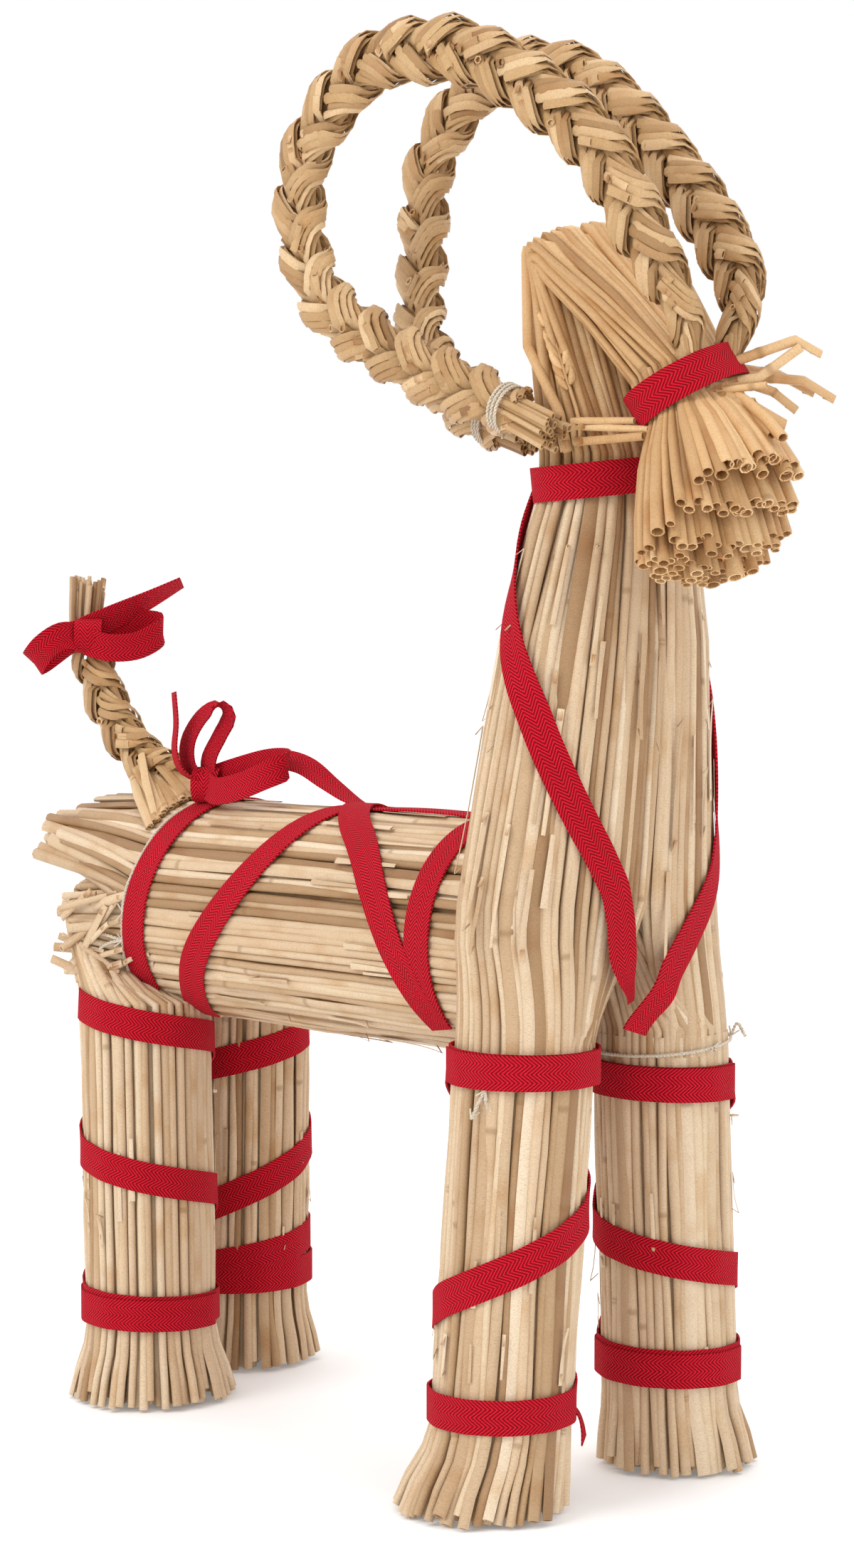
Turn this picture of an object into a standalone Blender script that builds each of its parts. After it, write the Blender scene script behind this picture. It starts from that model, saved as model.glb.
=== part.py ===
"""Straw yule goat bound with red cotton tape.

Metres. +X is the way the goat looks, +Y is its left, +Z is up. Every piece is drawn from the point
on the floor midway between the front feet, and the parent empty then moves the whole goat so that
the middle of its outline on the floor is the origin.
"""

import math

import bmesh
import bpy
from mathutils import Vector

# Fits
GAP = 0.0003
TAPE_WIDTH = 0.015
TAPE_THICKNESS = 0.001
TAPE_EASE = 0.0004
STRING_RADIUS = 0.0006
STRING_STAND = 0.006
FLUTE = 0.0016

# Barrel, a bundle that lies along X
BODY_RADIUS = 0.0535
BODY_HEIGHT = 0.240
BODY_FRONT = -0.030
FRONT_LEAN = 0.11
BODY_REAR = -0.268
BODY_SIDES = 32
RUMP_END = -0.346
RUMP_WIDTH = 0.043
RUMP_DEPTH = 0.022
RUMP_DROP = 0.0265
RUMP_HEIGHT = BODY_HEIGHT + BODY_RADIUS - RUMP_DROP
RUMP_ROOT_SET = 0.002
RUMP_ROOT_DROP = 0.003

# Chest and neck, an upright bundle: height, half depth, half width, how far it leans forward
CHEST_DROP = 0.035
NECK_RISE = 0.207
CHEST_BOTTOM = BODY_HEIGHT - CHEST_DROP
NECK_TIE = BODY_HEIGHT + NECK_RISE
CHEST_ROWS = (
    (CHEST_BOTTOM, 0.0360, 0.0745, 0.0000),
    (BODY_HEIGHT + 0.010, 0.0375, 0.0755, 0.0000),
    (BODY_HEIGHT + 0.072, 0.0370, 0.0655, 0.0047),
    (BODY_HEIGHT + 0.134, 0.0355, 0.0555, 0.0100),
    (BODY_HEIGHT + 0.181, 0.0310, 0.0435, 0.0140),
    (NECK_TIE - TAPE_WIDTH / 2, 0.0275, 0.0365, 0.0145),
    (NECK_TIE + TAPE_WIDTH / 2, 0.0275, 0.0365, 0.0145),
)
CHEST_SIDES = 32

# Head: the neck straws fold over a crest, come forward and down, and are tied as a snout
CREST_RISE = 0.080
CREST_PIVOT = Vector((0.014, 0.0, NECK_TIE + CREST_RISE))
CREST_DEPTH = 0.029
CREST_HALF_WIDTH = 0.040
FOLD_INNER = 0.0045
SNOUT_DROP = math.radians(32)
SNOUT_TIE = CREST_PIVOT + Vector((0.043, 0.0, -0.045))
SNOUT_HALF_DEPTH = 0.0175
SNOUT_HALF_WIDTH = 0.0285
MUZZLE_LENGTH = 0.061
MUZZLE_HALF_DEPTH = 0.0325
MUZZLE_HALF_WIDTH = 0.0360

# Legs: foot and top of the axis, radius, foot radius, how far the foot leans out, top height
FRONT_LEG_RADIUS = 0.0310
HIND_LEG_RADIUS = 0.0320
HIND_SQUEEZE_DROP = 0.044
HIND_TOP_OUTWARD = 0.003
# Above the squeeze the straws come down from the barrel: height, set back, half length, half width
HIND_TOP_ROWS = (
    (BODY_HEIGHT - 0.025, 0.010, 0.0250, 0.0300),
    (BODY_HEIGHT + 0.002, 0.018, 0.0175, 0.0265),
)
FLARE_HEIGHT = 0.036
LEG_SIDES = 28
# How far below the barrel's axis each leg's tape passes the leg's two sides, in turn, from the top
LEGS = {
    "front_leg_right": {
        "foot": (0.000, -0.0570), "top": (0.000, -0.0385), "radius": FRONT_LEG_RADIUS,
        "foot_radius": 0.0365, "lean": (-0.004, -0.005), "hind": False,
        "turn": -1, "passes": (0.048, 0.047, 0.048, 0.048, 0.108, 0.154, 0.193, 0.194, 0.194),
    },
    "front_leg_left": {
        "foot": (0.000, 0.0570), "top": (0.000, 0.0470), "radius": FRONT_LEG_RADIUS,
        "foot_radius": 0.0340, "lean": (0.001, 0.001), "hind": False,
        "turn": 1, "passes": (0.060, 0.063, 0.060, 0.064, 0.130, 0.151, 0.188, 0.190, 0.190, 0.192),
    },
    "hind_leg_right": {
        "foot": (-0.261, -0.0340), "top": (-0.265, -0.0345), "radius": HIND_LEG_RADIUS,
        "foot_radius": 0.0390, "lean": (0.000, 0.000), "hind": True,
        "turn": 1, "passes": (0.043, 0.063, 0.115, 0.138, 0.190, 0.194, 0.193, 0.195),
    },
    "hind_leg_left": {
        "foot": (-0.292, 0.0520), "top": (-0.272, 0.0380), "radius": HIND_LEG_RADIUS,
        "foot_radius": 0.0380, "lean": (0.000, 0.000), "hind": True,
        "turn": -1, "passes": (0.064, 0.090, 0.123, 0.170, 0.172, 0.192, 0.190, 0.193),
    },
}
TAPE_STEPS = LEG_SIDES // 2
# The legs' two sides as the tape passes them
SIDE_RIGHT = math.radians(46)
SIDE_LEFT = math.radians(226)

# Plaits
HORN_HALF_WIDTH = 0.0135
HORN_HALF_THICKNESS = 0.0080
TAIL_HALF_WIDTH = 0.0115
TAIL_HALF_THICKNESS = 0.0090
PLAIT_PITCH = 0.024
PLAIT_DEPTH = 0.18
PLAIT_SIDES = 8
PLAIT_TAPER = 0.12
HORN_START = 0.5
HORN_END = 0.8
HORN_RINGS = 54
TAIL_RINGS = 16
# The horns' routes start from the crest's pivot
HORN_RIGHT_ROUTE = (
    (0.0550, -0.0140, -0.0210), (0.0460, -0.0270, 0.0110), (0.0210, -0.0370, 0.0580),
    (-0.0320, -0.0430, 0.0950), (-0.0700, -0.0450, 0.1040), (-0.1090, -0.0470, 0.0990),
    (-0.1450, -0.0500, 0.0590), (-0.1330, -0.0510, 0.0030), (-0.0760, -0.0500, -0.0310),
    (-0.0150, -0.0480, -0.0540), (0.0040, -0.0480, -0.0590),
)
HORN_LEFT_ROUTE = (
    (0.0550, 0.0170, -0.0210), (0.0480, 0.0270, 0.0020), (0.0100, 0.0370, 0.0440),
    (-0.0450, 0.0400, 0.0920), (-0.0840, 0.0390, 0.1055), (-0.1190, 0.0370, 0.1030),
    (-0.1410, 0.0270, 0.0680), (-0.1370, 0.0180, 0.0270), (-0.1200, 0.0020, -0.0180),
    (-0.0740, -0.0140, -0.0500), (-0.0295, -0.0200, -0.0640),
)
# The tail's route, with heights above the top of the rump
TAIL_ROUTE = (
    (-0.276, 0.0, 0.0122), (-0.300, 0.0, 0.0172), (-0.318, 0.0, 0.0280), (-0.334, 0.0, 0.0450),
    (-0.347, 0.0, 0.0670), (-0.353, 0.0, 0.0880), (-0.351, 0.0, 0.1110),
)

# Tapes round the barrel: how far along X they lie, by the angle up from the goat's right side
RUMP_TAPE_X = -0.249
RUMP_TAPE_SLANT = 0.010
SHOULDER_TAPE_X = -0.0525
RISING_TAPE = (
    (-67.5, -0.236), (-22, -0.210), (6, -0.186), (26, -0.171), (48, -0.160), (68, -0.154),
    (90, -0.147), (112, -0.130), (136, -0.101), (165, -0.078), (193, -0.0625), (215, -0.0545),
    (225, -0.0510),
)
BACK_TAPE = (-0.112, -0.068)
BODY_TAPE_STEPS = BODY_SIDES // 2
WRAP = TAPE_THICKNESS + 2 * GAP + 2 * TAPE_EASE
# Tapes down the chest: how far below the neck's tie, and angle round the chest from straight ahead
CHEST_TAPE_RIGHT = (
    (0.022, -138), (0.034, -126), (0.072, -94), (0.102, -68), (0.132, -47), (0.162, -27),
    (0.178, -18), (0.194, -14), (0.207, -14),
)
CHEST_TAPE_LEFT = (
    (0.022, 140), (0.047, 112), (0.092, 84), (0.127, 68), (0.157, 56), (0.177, 45), (0.197, 25),
    (0.215, 8), (0.233, -3),
)

# Bows, made of the same tape pulled a little narrower
KNOT = Vector((0.0065, 0.0060, 0.0075))
BOW_WIDTH = 0.8 * TAPE_WIDTH
RUMP_BOW_LEAN = math.radians(14)
RUMP_LOOPS = (0.056, 0.040)
RUMP_LOOP_OPENING = 0.009
RUMP_FRONT_END = ((0.030, 0.004, 0.014), (0.058, 0.010, 0.011), (0.086, 0.014, 0.003))
RUMP_REAR_END = ((-0.010, -0.008, 0.016), (-0.014, -0.010, 0.044))
TAIL_LOOPS = (0.032, 0.042)
TAIL_LOOP_OPENING = 0.007
TAIL_KNOT_STAND = 0.0045
TAIL_END = ((0.020, 0.010), (0.052, 0.024))
RUMP_BOW_WAY = Vector((0.985, 0.10, 0.14)).normalized()
TOWARDS_LEFT_FRONT = Vector((0.693, 0.721, 0.0))
TOWARDS_RIGHT_FRONT = Vector((0.721, -0.693, 0.0))
UP = Vector((0, 0, 1))
FORWARD = Vector((1, 0, 0))
SIDEWAYS = Vector((0, 1, 0))

STRAW = ((0.80, 0.62, 0.36, 1), 0.55)
PLAITED_STRAW = ((0.66, 0.47, 0.27, 1), 0.60)
RED_TAPE = ((0.55, 0.012, 0.035, 1), 0.85)
STRING = ((0.72, 0.66, 0.56, 1), 0.90)


def material(name, colour, roughness):
    made = bpy.data.materials.new(name)
    made.use_nodes = True
    made.diffuse_color = colour
    shader = made.node_tree.nodes["Principled BSDF"]
    shader.inputs["Base Color"].default_value = colour
    shader.inputs["Roughness"].default_value = roughness
    shader.inputs["Metallic"].default_value = 0.0
    return made


def between(value, first, last):
    """Where value lies from first to last, eased at both ends."""
    share = min(max((value - first) / (last - first), 0.0), 1.0)
    return share * share * (3 - 2 * share)


def row_at(rows, value):
    """The row of a table at this value of its first column, read along straight lines."""
    for low, high in zip(rows, rows[1:]):
        if value <= high[0] or high is rows[-1]:
            share = (value - low[0]) / (high[0] - low[0])
            return [a + share * (b - a) for a, b in zip(low, high)]


def smooth_route(points, count):
    """Points at even steps along a smooth curve through the given ones."""
    points = [Vector(point) for point in points]
    ends = [2 * points[0] - points[1], *points, 2 * points[-1] - points[-2]]
    fine = []
    for before, start, end, after in zip(ends, ends[1:], ends[2:], ends[3:]):
        for step in range(16):
            t = step / 16
            fine.append(0.5 * (
                2 * start + (end - before) * t + (2 * before - 5 * start + 4 * end - after) * t ** 2
                + (3 * start - before - 3 * end + after) * t ** 3
            ))
    fine.append(points[-1])
    run = [0.0]
    for first, second in zip(fine, fine[1:]):
        run.append(run[-1] + (second - first).length)
    route, at = [], 0
    for step in range(count):
        wanted = run[-1] * step / (count - 1)
        while at < len(run) - 2 and run[at + 1] < wanted:
            at += 1
        route.append(fine[at].lerp(fine[at + 1], (wanted - run[at]) / (run[at + 1] - run[at])))
    return route


def add_object(name, mesh, finish, helper=False):
    made = bpy.data.objects.new(name, mesh)
    bpy.context.scene.collection.objects.link(made)
    made.parent = goat
    if helper:
        made.hide_render = True
        made.display_type = "WIRE"
    else:
        mesh.materials.append(finish)
        mesh.shade_smooth()
        mesh.set_sharp_from_angle(angle=math.radians(35))
    return made


def skin(name, rings, finish, closed=False, helper=False, flat=False):
    """A solid over rings of points, with a flat face on each end unless the rings close on themselves.

    A flat one, such as a tape, splits both of its faces along the same diagonal."""
    shape = bmesh.new()
    rows = [[shape.verts.new(point) for point in ring] for ring in rings]
    pairs = list(zip(rows, rows[1:]))
    if closed:
        pairs.append((rows[-1], rows[0]))
    else:
        shape.faces.new(rows[0])
        shape.faces.new(rows[-1])
    for first, second in pairs:
        for i in range(len(first)):
            j = (i + 1) % len(first)
            if not flat:
                shape.faces.new((first[i], first[j], second[j], second[i]))
            elif i < 2:
                shape.faces.new((first[i], first[j], second[j]))
                shape.faces.new((first[i], second[j], second[i]))
            else:
                shape.faces.new((first[i], first[j], second[i]))
                shape.faces.new((first[j], second[j], second[i]))
    bmesh.ops.recalc_face_normals(shape, faces=shape.faces)
    mesh = bpy.data.meshes.new(name)
    shape.to_mesh(mesh)
    shape.free()
    return add_object(name, mesh, finish, helper)


def bundle_ring(centre, across, deep, half_width, half_depth, sides):
    """One outline of a bundle, with a ridge for each outer straw and a groove between."""
    ring = []
    for i in range(sides):
        angle = math.tau * i / sides
        groove = FLUTE * (i % 2)
        ring.append(
            centre + across * ((half_width - groove) * math.cos(angle))
            + deep * ((half_depth - groove) * math.sin(angle))
        )
    return ring


def band(name, route, outward, finish, closed=False, helper=False, width=TAPE_WIDTH, grain=None):
    """A tape along a route, its flat side facing outward, and its inner face on the route.

    Its cross rows are square to the route, or they run along the grain of the straw below it, so that
    the tape stays flat between two straws."""
    rings = []
    count = len(route)
    for i, (point, out) in enumerate(zip(route, outward)):
        before = route[i - 1] if closed or i else point
        after = route[(i + 1) % count] if closed or i < count - 1 else point
        along = (after - before).normalized()
        side = along.cross(out).normalized()
        if grain:
            side = grain[i] / side.dot(grain[i])
            face = out * TAPE_THICKNESS
        else:
            face = side.cross(along).normalized() * TAPE_THICKNESS
        if face.dot(out) < 0:
            face.negate()
        side *= width / 2
        rings.append([point - side, point + side, point + side + face, point - side + face])
    return skin(name, rings, finish, closed, helper, flat=True)


def join(base, other):
    modifier = base.modifiers.new(f"with {other.name}", "BOOLEAN")
    modifier.operation = "UNION"
    modifier.object = other


def cut(base, cutter):
    modifier = base.modifiers.new(f"without {cutter.name}", "BOOLEAN")
    modifier.operation = "DIFFERENCE"
    modifier.object = cutter


def chest_rings(clear=0.0):
    rings = []
    for height, half_depth, half_width, lean in CHEST_ROWS:
        below = clear if height == CHEST_BOTTOM else 0
        rings.append(bundle_ring(
            Vector((lean, 0, height - below)), SIDEWAYS, -FORWARD,
            half_width + clear, half_depth + clear, CHEST_SIDES,
        ))
    return rings


def snout_line():
    """Where the straws leave the crest, and the way they run."""
    out = Vector((math.cos(SNOUT_DROP), 0, math.sin(SNOUT_DROP)))
    start = CREST_PIVOT + out * ((CREST_DEPTH + FOLD_INNER) / 2)
    return start, (SNOUT_TIE - start).normalized()


def front_bundle():
    """The chest, the neck, the fold over the crest, and the muzzle: one run of straw."""
    across = SIDEWAYS
    half_fold = (CREST_DEPTH - FOLD_INNER) / 2
    fold_centre = (CREST_DEPTH + FOLD_INNER) / 2
    rings = chest_rings()
    _, tie_depth, tie_width, lean = CHEST_ROWS[-1]
    back_x = CREST_PIVOT.x - fold_centre
    neck_top = CHEST_ROWS[-1][0]
    for share in (0.30, 0.65):
        height = neck_top + share * (CREST_PIVOT.z - neck_top)
        rings.append(bundle_ring(
            Vector((lean + share * (back_x - lean), 0, height)), across, -FORWARD,
            tie_width + math.sqrt(share) * (CREST_HALF_WIDTH - tie_width),
            tie_depth + share * (half_fold - tie_depth), CHEST_SIDES,
        ))
    fold_steps = 5
    for step in range(fold_steps + 1):
        turn = math.pi + (SNOUT_DROP - math.pi) * step / fold_steps
        out = Vector((math.cos(turn), 0, math.sin(turn)))
        rings.append(bundle_ring(
            CREST_PIVOT + out * fold_centre, across, out, CREST_HALF_WIDTH, half_fold, CHEST_SIDES
        ))
    start, along = snout_line()
    out = along.cross(across)
    tied = along * (TAPE_WIDTH / 2)
    reach = (SNOUT_TIE - tied - start).length
    for share in (0.55, 1.0):
        rings.append(bundle_ring(
            start + along * (reach * share), across, out,
            CREST_HALF_WIDTH + share * (SNOUT_HALF_WIDTH - CREST_HALF_WIDTH),
            half_fold + share * (SNOUT_HALF_DEPTH - half_fold), CHEST_SIDES,
        ))
    for share in (0.0, 0.45, 1.0):
        rings.append(bundle_ring(
            SNOUT_TIE + tied + along * (MUZZLE_LENGTH * share), across, out,
            SNOUT_HALF_WIDTH + share * (MUZZLE_HALF_WIDTH - SNOUT_HALF_WIDTH),
            SNOUT_HALF_DEPTH + share * (MUZZLE_HALF_DEPTH - SNOUT_HALF_DEPTH), CHEST_SIDES,
        ))
    skin("chest_neck_and_head", rings, straw)


def body_rings(clear=0.0):
    """The barrel, then the straws of its upper half that go on past the rump."""
    across, deep = -SIDEWAYS, UP
    rings = []
    for x in (BODY_FRONT, BODY_REAR):
        end = clear if x == BODY_REAR else 0
        radius = BODY_RADIUS + clear
        ring = bundle_ring(Vector((x - end, 0, BODY_HEIGHT)), across, deep, radius, radius, BODY_SIDES)
        if x == BODY_FRONT:
            ring = [point + FORWARD * (FRONT_LEAN * (point.z - BODY_HEIGHT)) for point in ring]
        rings.append(ring)
    root_depth = RUMP_DEPTH + RUMP_ROOT_SET
    root_height = BODY_HEIGHT + BODY_RADIUS - RUMP_ROOT_DROP - root_depth
    for x, half_width, half_depth, height in (
        (BODY_REAR - RUMP_ROOT_SET, RUMP_WIDTH, root_depth, root_height),
        (RUMP_END, RUMP_WIDTH, RUMP_DEPTH, RUMP_HEIGHT),
    ):
        rings.append(bundle_ring(
            Vector((x - clear, 0, height)), across, deep, half_width + clear, half_depth + clear,
            BODY_SIDES,
        ))
    return rings


def leg_centre(leg, height):
    share = height / CHEST_BOTTOM
    spread = between(FLARE_HEIGHT - height, 0, FLARE_HEIGHT)
    foot, top = Vector((*leg["foot"], 0)), Vector((*leg["top"], 0))
    return foot.lerp(top, share) + Vector((*leg["lean"], 0)) * spread + Vector((0, 0, height))


def leg_way(leg, height):
    return (leg_centre(leg, height + GAP) - leg_centre(leg, height)).normalized()


def leg_radius(leg, height):
    spread = between(FLARE_HEIGHT - height, 0, FLARE_HEIGHT)
    return leg["radius"] + (leg["foot_radius"] - leg["radius"]) * spread


def leg_bundle(name, leg, cutter):
    straight_top = BODY_HEIGHT - HIND_SQUEEZE_DROP if leg["hind"] else CHEST_BOTTOM - GAP
    heights = [FLARE_HEIGHT * share for share in (0.0, 0.3, 0.6, 1.0)] + [straight_top]
    across = Vector((math.cos(SIDE_RIGHT), math.sin(SIDE_RIGHT), 0))
    deep = UP.cross(across)
    rings = []
    for height in heights:
        radius = leg_radius(leg, height)
        rings.append(bundle_ring(leg_centre(leg, height), across, deep, radius, radius, LEG_SIDES))
    if leg["hind"]:
        outward = math.copysign(HIND_TOP_OUTWARD, leg["top"][1])
        for height, back, half_length, half_width in HIND_TOP_ROWS:
            centre = Vector((leg["top"][0] - back, leg["top"][1] + outward, height))
            rings.append(bundle_ring(
                centre, FORWARD, SIDEWAYS, half_length, half_width, LEG_SIDES
            ))
    made = skin(name, rings, straw)
    if leg["hind"]:
        cut(made, cutter)


def layers(heights, per_turn):
    """How many turns of tape already lie under each step of the winding, eased over the steps beside."""
    count = [0] * len(heights)
    for i in range(per_turn, len(heights)):
        if abs(heights[i] - heights[i - per_turn]) < TAPE_WIDTH + 0.004:
            count[i] = count[i - per_turn] + 1
    wide = [max(count[max(i - 2, 0):i + 3]) for i in range(len(count))]
    return [sum(wide[max(i - 1, 0):i + 2]) / len(wide[max(i - 1, 0):i + 2]) for i in range(len(wide))]


def leg_tape(name, leg):
    """One tape wound round the leg: it slants down from pass to pass, and each end is a full turn."""
    per_half = TAPE_STEPS // 2
    passes = [BODY_HEIGHT - drop for drop in leg["passes"]]
    start = SIDE_RIGHT if leg["turn"] < 0 else SIDE_LEFT
    heights = []
    for first, second in zip(passes, passes[1:]):
        heights += [first + (second - first) * step / per_half for step in range(per_half)]
    heights.append(passes[-1])
    lifts = layers(heights, TAPE_STEPS)
    route, outward, grain = [], [], []
    for i, (height, lift) in enumerate(zip(heights, lifts)):
        angle = start + leg["turn"] * math.tau * i / TAPE_STEPS
        out = Vector((math.cos(angle), math.sin(angle), 0))
        radius = leg_radius(leg, height) + GAP + TAPE_EASE + lift * (TAPE_THICKNESS + 2 * GAP)
        route.append(leg_centre(leg, height) + out * radius)
        outward.append(out)
        grain.append(leg_way(leg, height))
    band(f"{name}_tape", route, outward, red_tape, grain=grain)


def plait(name, route, half_width, half_thickness, start_size=1.0, end_size=1.0):
    """A flat three-strand plait. Its two edges swell by turns, as the strands come round."""
    rings = []
    run = 0.0
    for i, point in enumerate(route):
        along = (route[min(i + 1, len(route) - 1)] - route[max(i - 1, 0)]).normalized()
        thick = (SIDEWAYS - along * SIDEWAYS.dot(along)).normalized()
        wide = thick.cross(along)
        if i:
            run += (point - route[i - 1]).length
        share = i / (len(route) - 1)
        size = 1 - (1 - start_size) * (1 - between(share, 0, PLAIT_TAPER))
        size *= 1 - (1 - end_size) * between(share, 1 - PLAIT_TAPER, 1.0)
        ring = []
        for k in range(PLAIT_SIDES):
            angle = math.tau * (k + 0.5) / PLAIT_SIDES
            phase = min(angle, math.tau - angle)
            swell = 1 - PLAIT_DEPTH * (0.5 + 0.5 * math.cos(math.tau * run / PLAIT_PITCH + phase))
            ring.append(
                point + wide * (half_width * size * swell * math.cos(angle))
                + thick * (half_thickness * size * swell * math.sin(angle))
            )
        rings.append(ring)
    skin(name, rings, plaited_straw)


def body_point(angle, x, lift):
    out = Vector((0, -math.cos(angle), math.sin(angle)))
    return Vector((x, 0, BODY_HEIGHT)) + out * (BODY_RADIUS + GAP + lift), out


def rump_tape():
    route, outward = [], []
    for i in range(BODY_TAPE_STEPS):
        angle = math.tau * i / BODY_TAPE_STEPS
        point, out = body_point(angle, RUMP_TAPE_X + RUMP_TAPE_SLANT * math.sin(angle), 0.0)
        route.append(point)
        outward.append(out)
    band("rump_tape", route, outward, red_tape, closed=True, grain=[FORWARD] * len(route))


def shoulder_tape():
    route, outward = [], []
    step = math.tau / BODY_TAPE_STEPS
    for i in range(BODY_TAPE_STEPS // 2 + 1):
        point, out = body_point(i * step, SHOULDER_TAPE_X, 0.0)
        route.append(point)
        outward.append(out)
    band("shoulder_tape", route, outward, red_tape, grain=[FORWARD] * len(route))


def crossing_tape(name, mirror, over):
    """From under the rump, up one flank, over the back, and down the other flank to the chest."""
    route, outward = [], []
    first, last = RISING_TAPE[0][0], RISING_TAPE[-1][0]
    steps = round((last - first) / 360 * BODY_TAPE_STEPS)
    for i in range(steps + 1):
        degrees = first + (last - first) * i / steps
        _, x = row_at(RISING_TAPE, degrees)
        hump = math.exp(-(((degrees - 90) / 32) ** 2))
        lift = TAPE_EASE + (over * (TAPE_THICKNESS + 4 * GAP) * hump)
        point, out = body_point(math.radians(degrees), x, lift)
        route.append(Vector((point.x, point.y * mirror, point.z)))
        outward.append(Vector((out.x, out.y * mirror, out.z)))
    band(name, route, outward, red_tape, grain=[FORWARD] * len(route))


def back_tape():
    points = [body_point(math.pi / 2, x, TAPE_EASE)[0] for x in BACK_TAPE]
    band("back_tape", points, [UP, UP], red_tape)


def chest_tape(name, table):
    route, outward = [], []
    steps = 22
    rows = [(i, *row) for i, row in enumerate(table)]
    for i in range(steps + 1):
        _, drop, degrees = row_at(rows, (len(rows) - 1) * i / steps)
        height = NECK_TIE - drop
        _, half_depth, half_width, lean = row_at(CHEST_ROWS, height)
        angle = math.radians(degrees)
        out = Vector((math.cos(angle) / half_depth, math.sin(angle) / half_width, 0)).normalized()
        clear = GAP + 3 * TAPE_EASE
        route.append(Vector((
            lean + half_depth * math.cos(angle), half_width * math.sin(angle), height,
        )) + out * clear)
        outward.append(out)
    band(name, route, outward, red_tape)


def hoop(name, centre, wide, thick, half_width, half_thickness, clear, steps):
    """A closed turn of tape round an oval section."""
    route, outward = [], []
    for i in range(steps):
        angle = math.tau * i / steps
        out = (wide * (math.cos(angle) / half_width) + thick * (math.sin(angle) / half_thickness))
        across, through = half_width * math.cos(angle), half_thickness * math.sin(angle)
        point = centre + wide * across + thick * through
        route.append(point + out.normalized() * clear)
        outward.append(out.normalized())
    return band(name, route, outward, red_tape, closed=True)


def string_ring(name, route):
    """A closed ring of string along the route."""
    rings = []
    count = len(route)
    middle = sum(route, Vector()) / count
    for i, point in enumerate(route):
        along = (route[(i + 1) % count] - route[i - 1]).normalized()
        out = (point - middle).normalized()
        side = along.cross(out).normalized()
        rings.append([
            point + out * (STRING_RADIUS * math.cos(turn)) + side * (STRING_RADIUS * math.sin(turn))
            for turn in (math.pi / 4, 3 * math.pi / 4, 5 * math.pi / 4, 7 * math.pi / 4)
        ])
    skin(name, rings, string, closed=True)


def rump_string():
    steps = BODY_TAPE_STEPS
    clear = STRING_RADIUS + GAP
    x = RUMP_TAPE_X - TAPE_WIDTH / 2 - 2 * STRING_RADIUS
    route = []
    for i in range(steps):
        angle = math.tau * i / steps
        route.append(body_point(angle, x + RUMP_TAPE_SLANT * math.sin(angle), clear)[0])
    string_ring("rump_string", route)


def leg_top_string():
    """A turn of string above the tape on the left front leg."""
    leg = LEGS["front_leg_left"]
    height = BODY_HEIGHT - leg["passes"][0] + TAPE_WIDTH / 2 + STRING_STAND
    radius = leg_radius(leg, height) + GAP + STRING_RADIUS
    route = []
    for i in range(TAPE_STEPS):
        angle = SIDE_RIGHT + math.tau * i / TAPE_STEPS
        out = Vector((math.cos(angle), math.sin(angle), 0))
        route.append(leg_centre(leg, height + 0.003 * out.y) + out * (radius + TAPE_EASE))
    string_ring("front_leg_string", route)


def horn_string(route):
    """A turn of string round the free end of the right horn."""
    at = route[-6]
    along = (route[-5] - route[-7]).normalized()
    thick = (SIDEWAYS - along * SIDEWAYS.dot(along)).normalized()
    wide = thick.cross(along)
    clear = GAP + STRING_RADIUS - HORN_HALF_THICKNESS * PLAIT_DEPTH / 3
    ring = []
    for i in range(TAPE_STEPS):
        angle = math.tau * i / TAPE_STEPS
        ring.append(
            at + wide * ((HORN_HALF_WIDTH + clear) * math.cos(angle))
            + thick * ((HORN_HALF_THICKNESS + clear) * math.sin(angle))
        )
    string_ring("horn_string", ring)


def knot(name, centre, towards):
    """A small round knot, wider along the tape than across it."""
    shape = bmesh.new()
    bmesh.ops.create_uvsphere(shape, u_segments=10, v_segments=6, radius=1.0)
    side = UP.cross(towards)
    for vertex in shape.verts:
        x, y, z = vertex.co
        vertex.co = centre + towards * (x * KNOT.y) + side * (y * KNOT.x) + UP * (z * KNOT.z)
    mesh = bpy.data.meshes.new(name)
    shape.to_mesh(mesh)
    shape.free()
    return add_object(name, mesh, red_tape)


def bow_loop(name, centre, along, open_way, length, opening):
    """A flat loop of tape that leaves the knot and comes back to it."""
    route, outward = [], []
    steps = 14
    flat_way = along.cross(open_way)
    for i in range(steps + 1):
        turn = math.pi * i / steps
        reach = math.sin(turn)
        spread = math.cos(turn) * (2 * TAPE_THICKNESS + 1.4 * opening * reach)
        route.append(centre + along * (length * reach) + open_way * spread)
    for i in range(steps + 1):
        way = route[min(i + 1, steps)] - route[max(i - 1, 0)]
        outward.append(flat_way.cross(way).normalized())
    return band(name, route, outward, red_tape, helper=True, width=BOW_WIDTH)


def bow_end(name, points, flat_way):
    route = smooth_route(points, 7)
    return band(name, route, [flat_way] * len(route), red_tape, helper=True, width=BOW_WIDTH)


def rump_bow():
    x = RUMP_TAPE_X + RUMP_TAPE_SLANT
    stand = BODY_RADIUS + TAPE_THICKNESS + 3 * GAP + KNOT.z
    centre = Vector((
        x, -math.sin(RUMP_BOW_LEAN) * stand, BODY_HEIGHT + math.cos(RUMP_BOW_LEAN) * stand,
    ))
    made = knot("rump_bow", centre, TOWARDS_RIGHT_FRONT)
    upward = (UP + TOWARDS_LEFT_FRONT * 0.30).normalized()
    rightward = RUMP_BOW_WAY.cross(UP).normalized()
    for label, way, open_way, length in (
        ("front", RUMP_BOW_WAY, rightward, RUMP_LOOPS[0]),
        ("upper", upward, TOWARDS_RIGHT_FRONT, RUMP_LOOPS[1]),
    ):
        join(made, bow_loop(f"rump_bow_{label}_loop", centre, way, open_way, length, RUMP_LOOP_OPENING))
    for label, reach, flat_way in (
        ("front", RUMP_FRONT_END, SIDEWAYS), ("rear", RUMP_REAR_END, TOWARDS_LEFT_FRONT),
    ):
        points = [centre, *(centre + Vector(step) for step in reach)]
        join(made, bow_end(f"rump_bow_{label}_end", points, flat_way))


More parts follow.
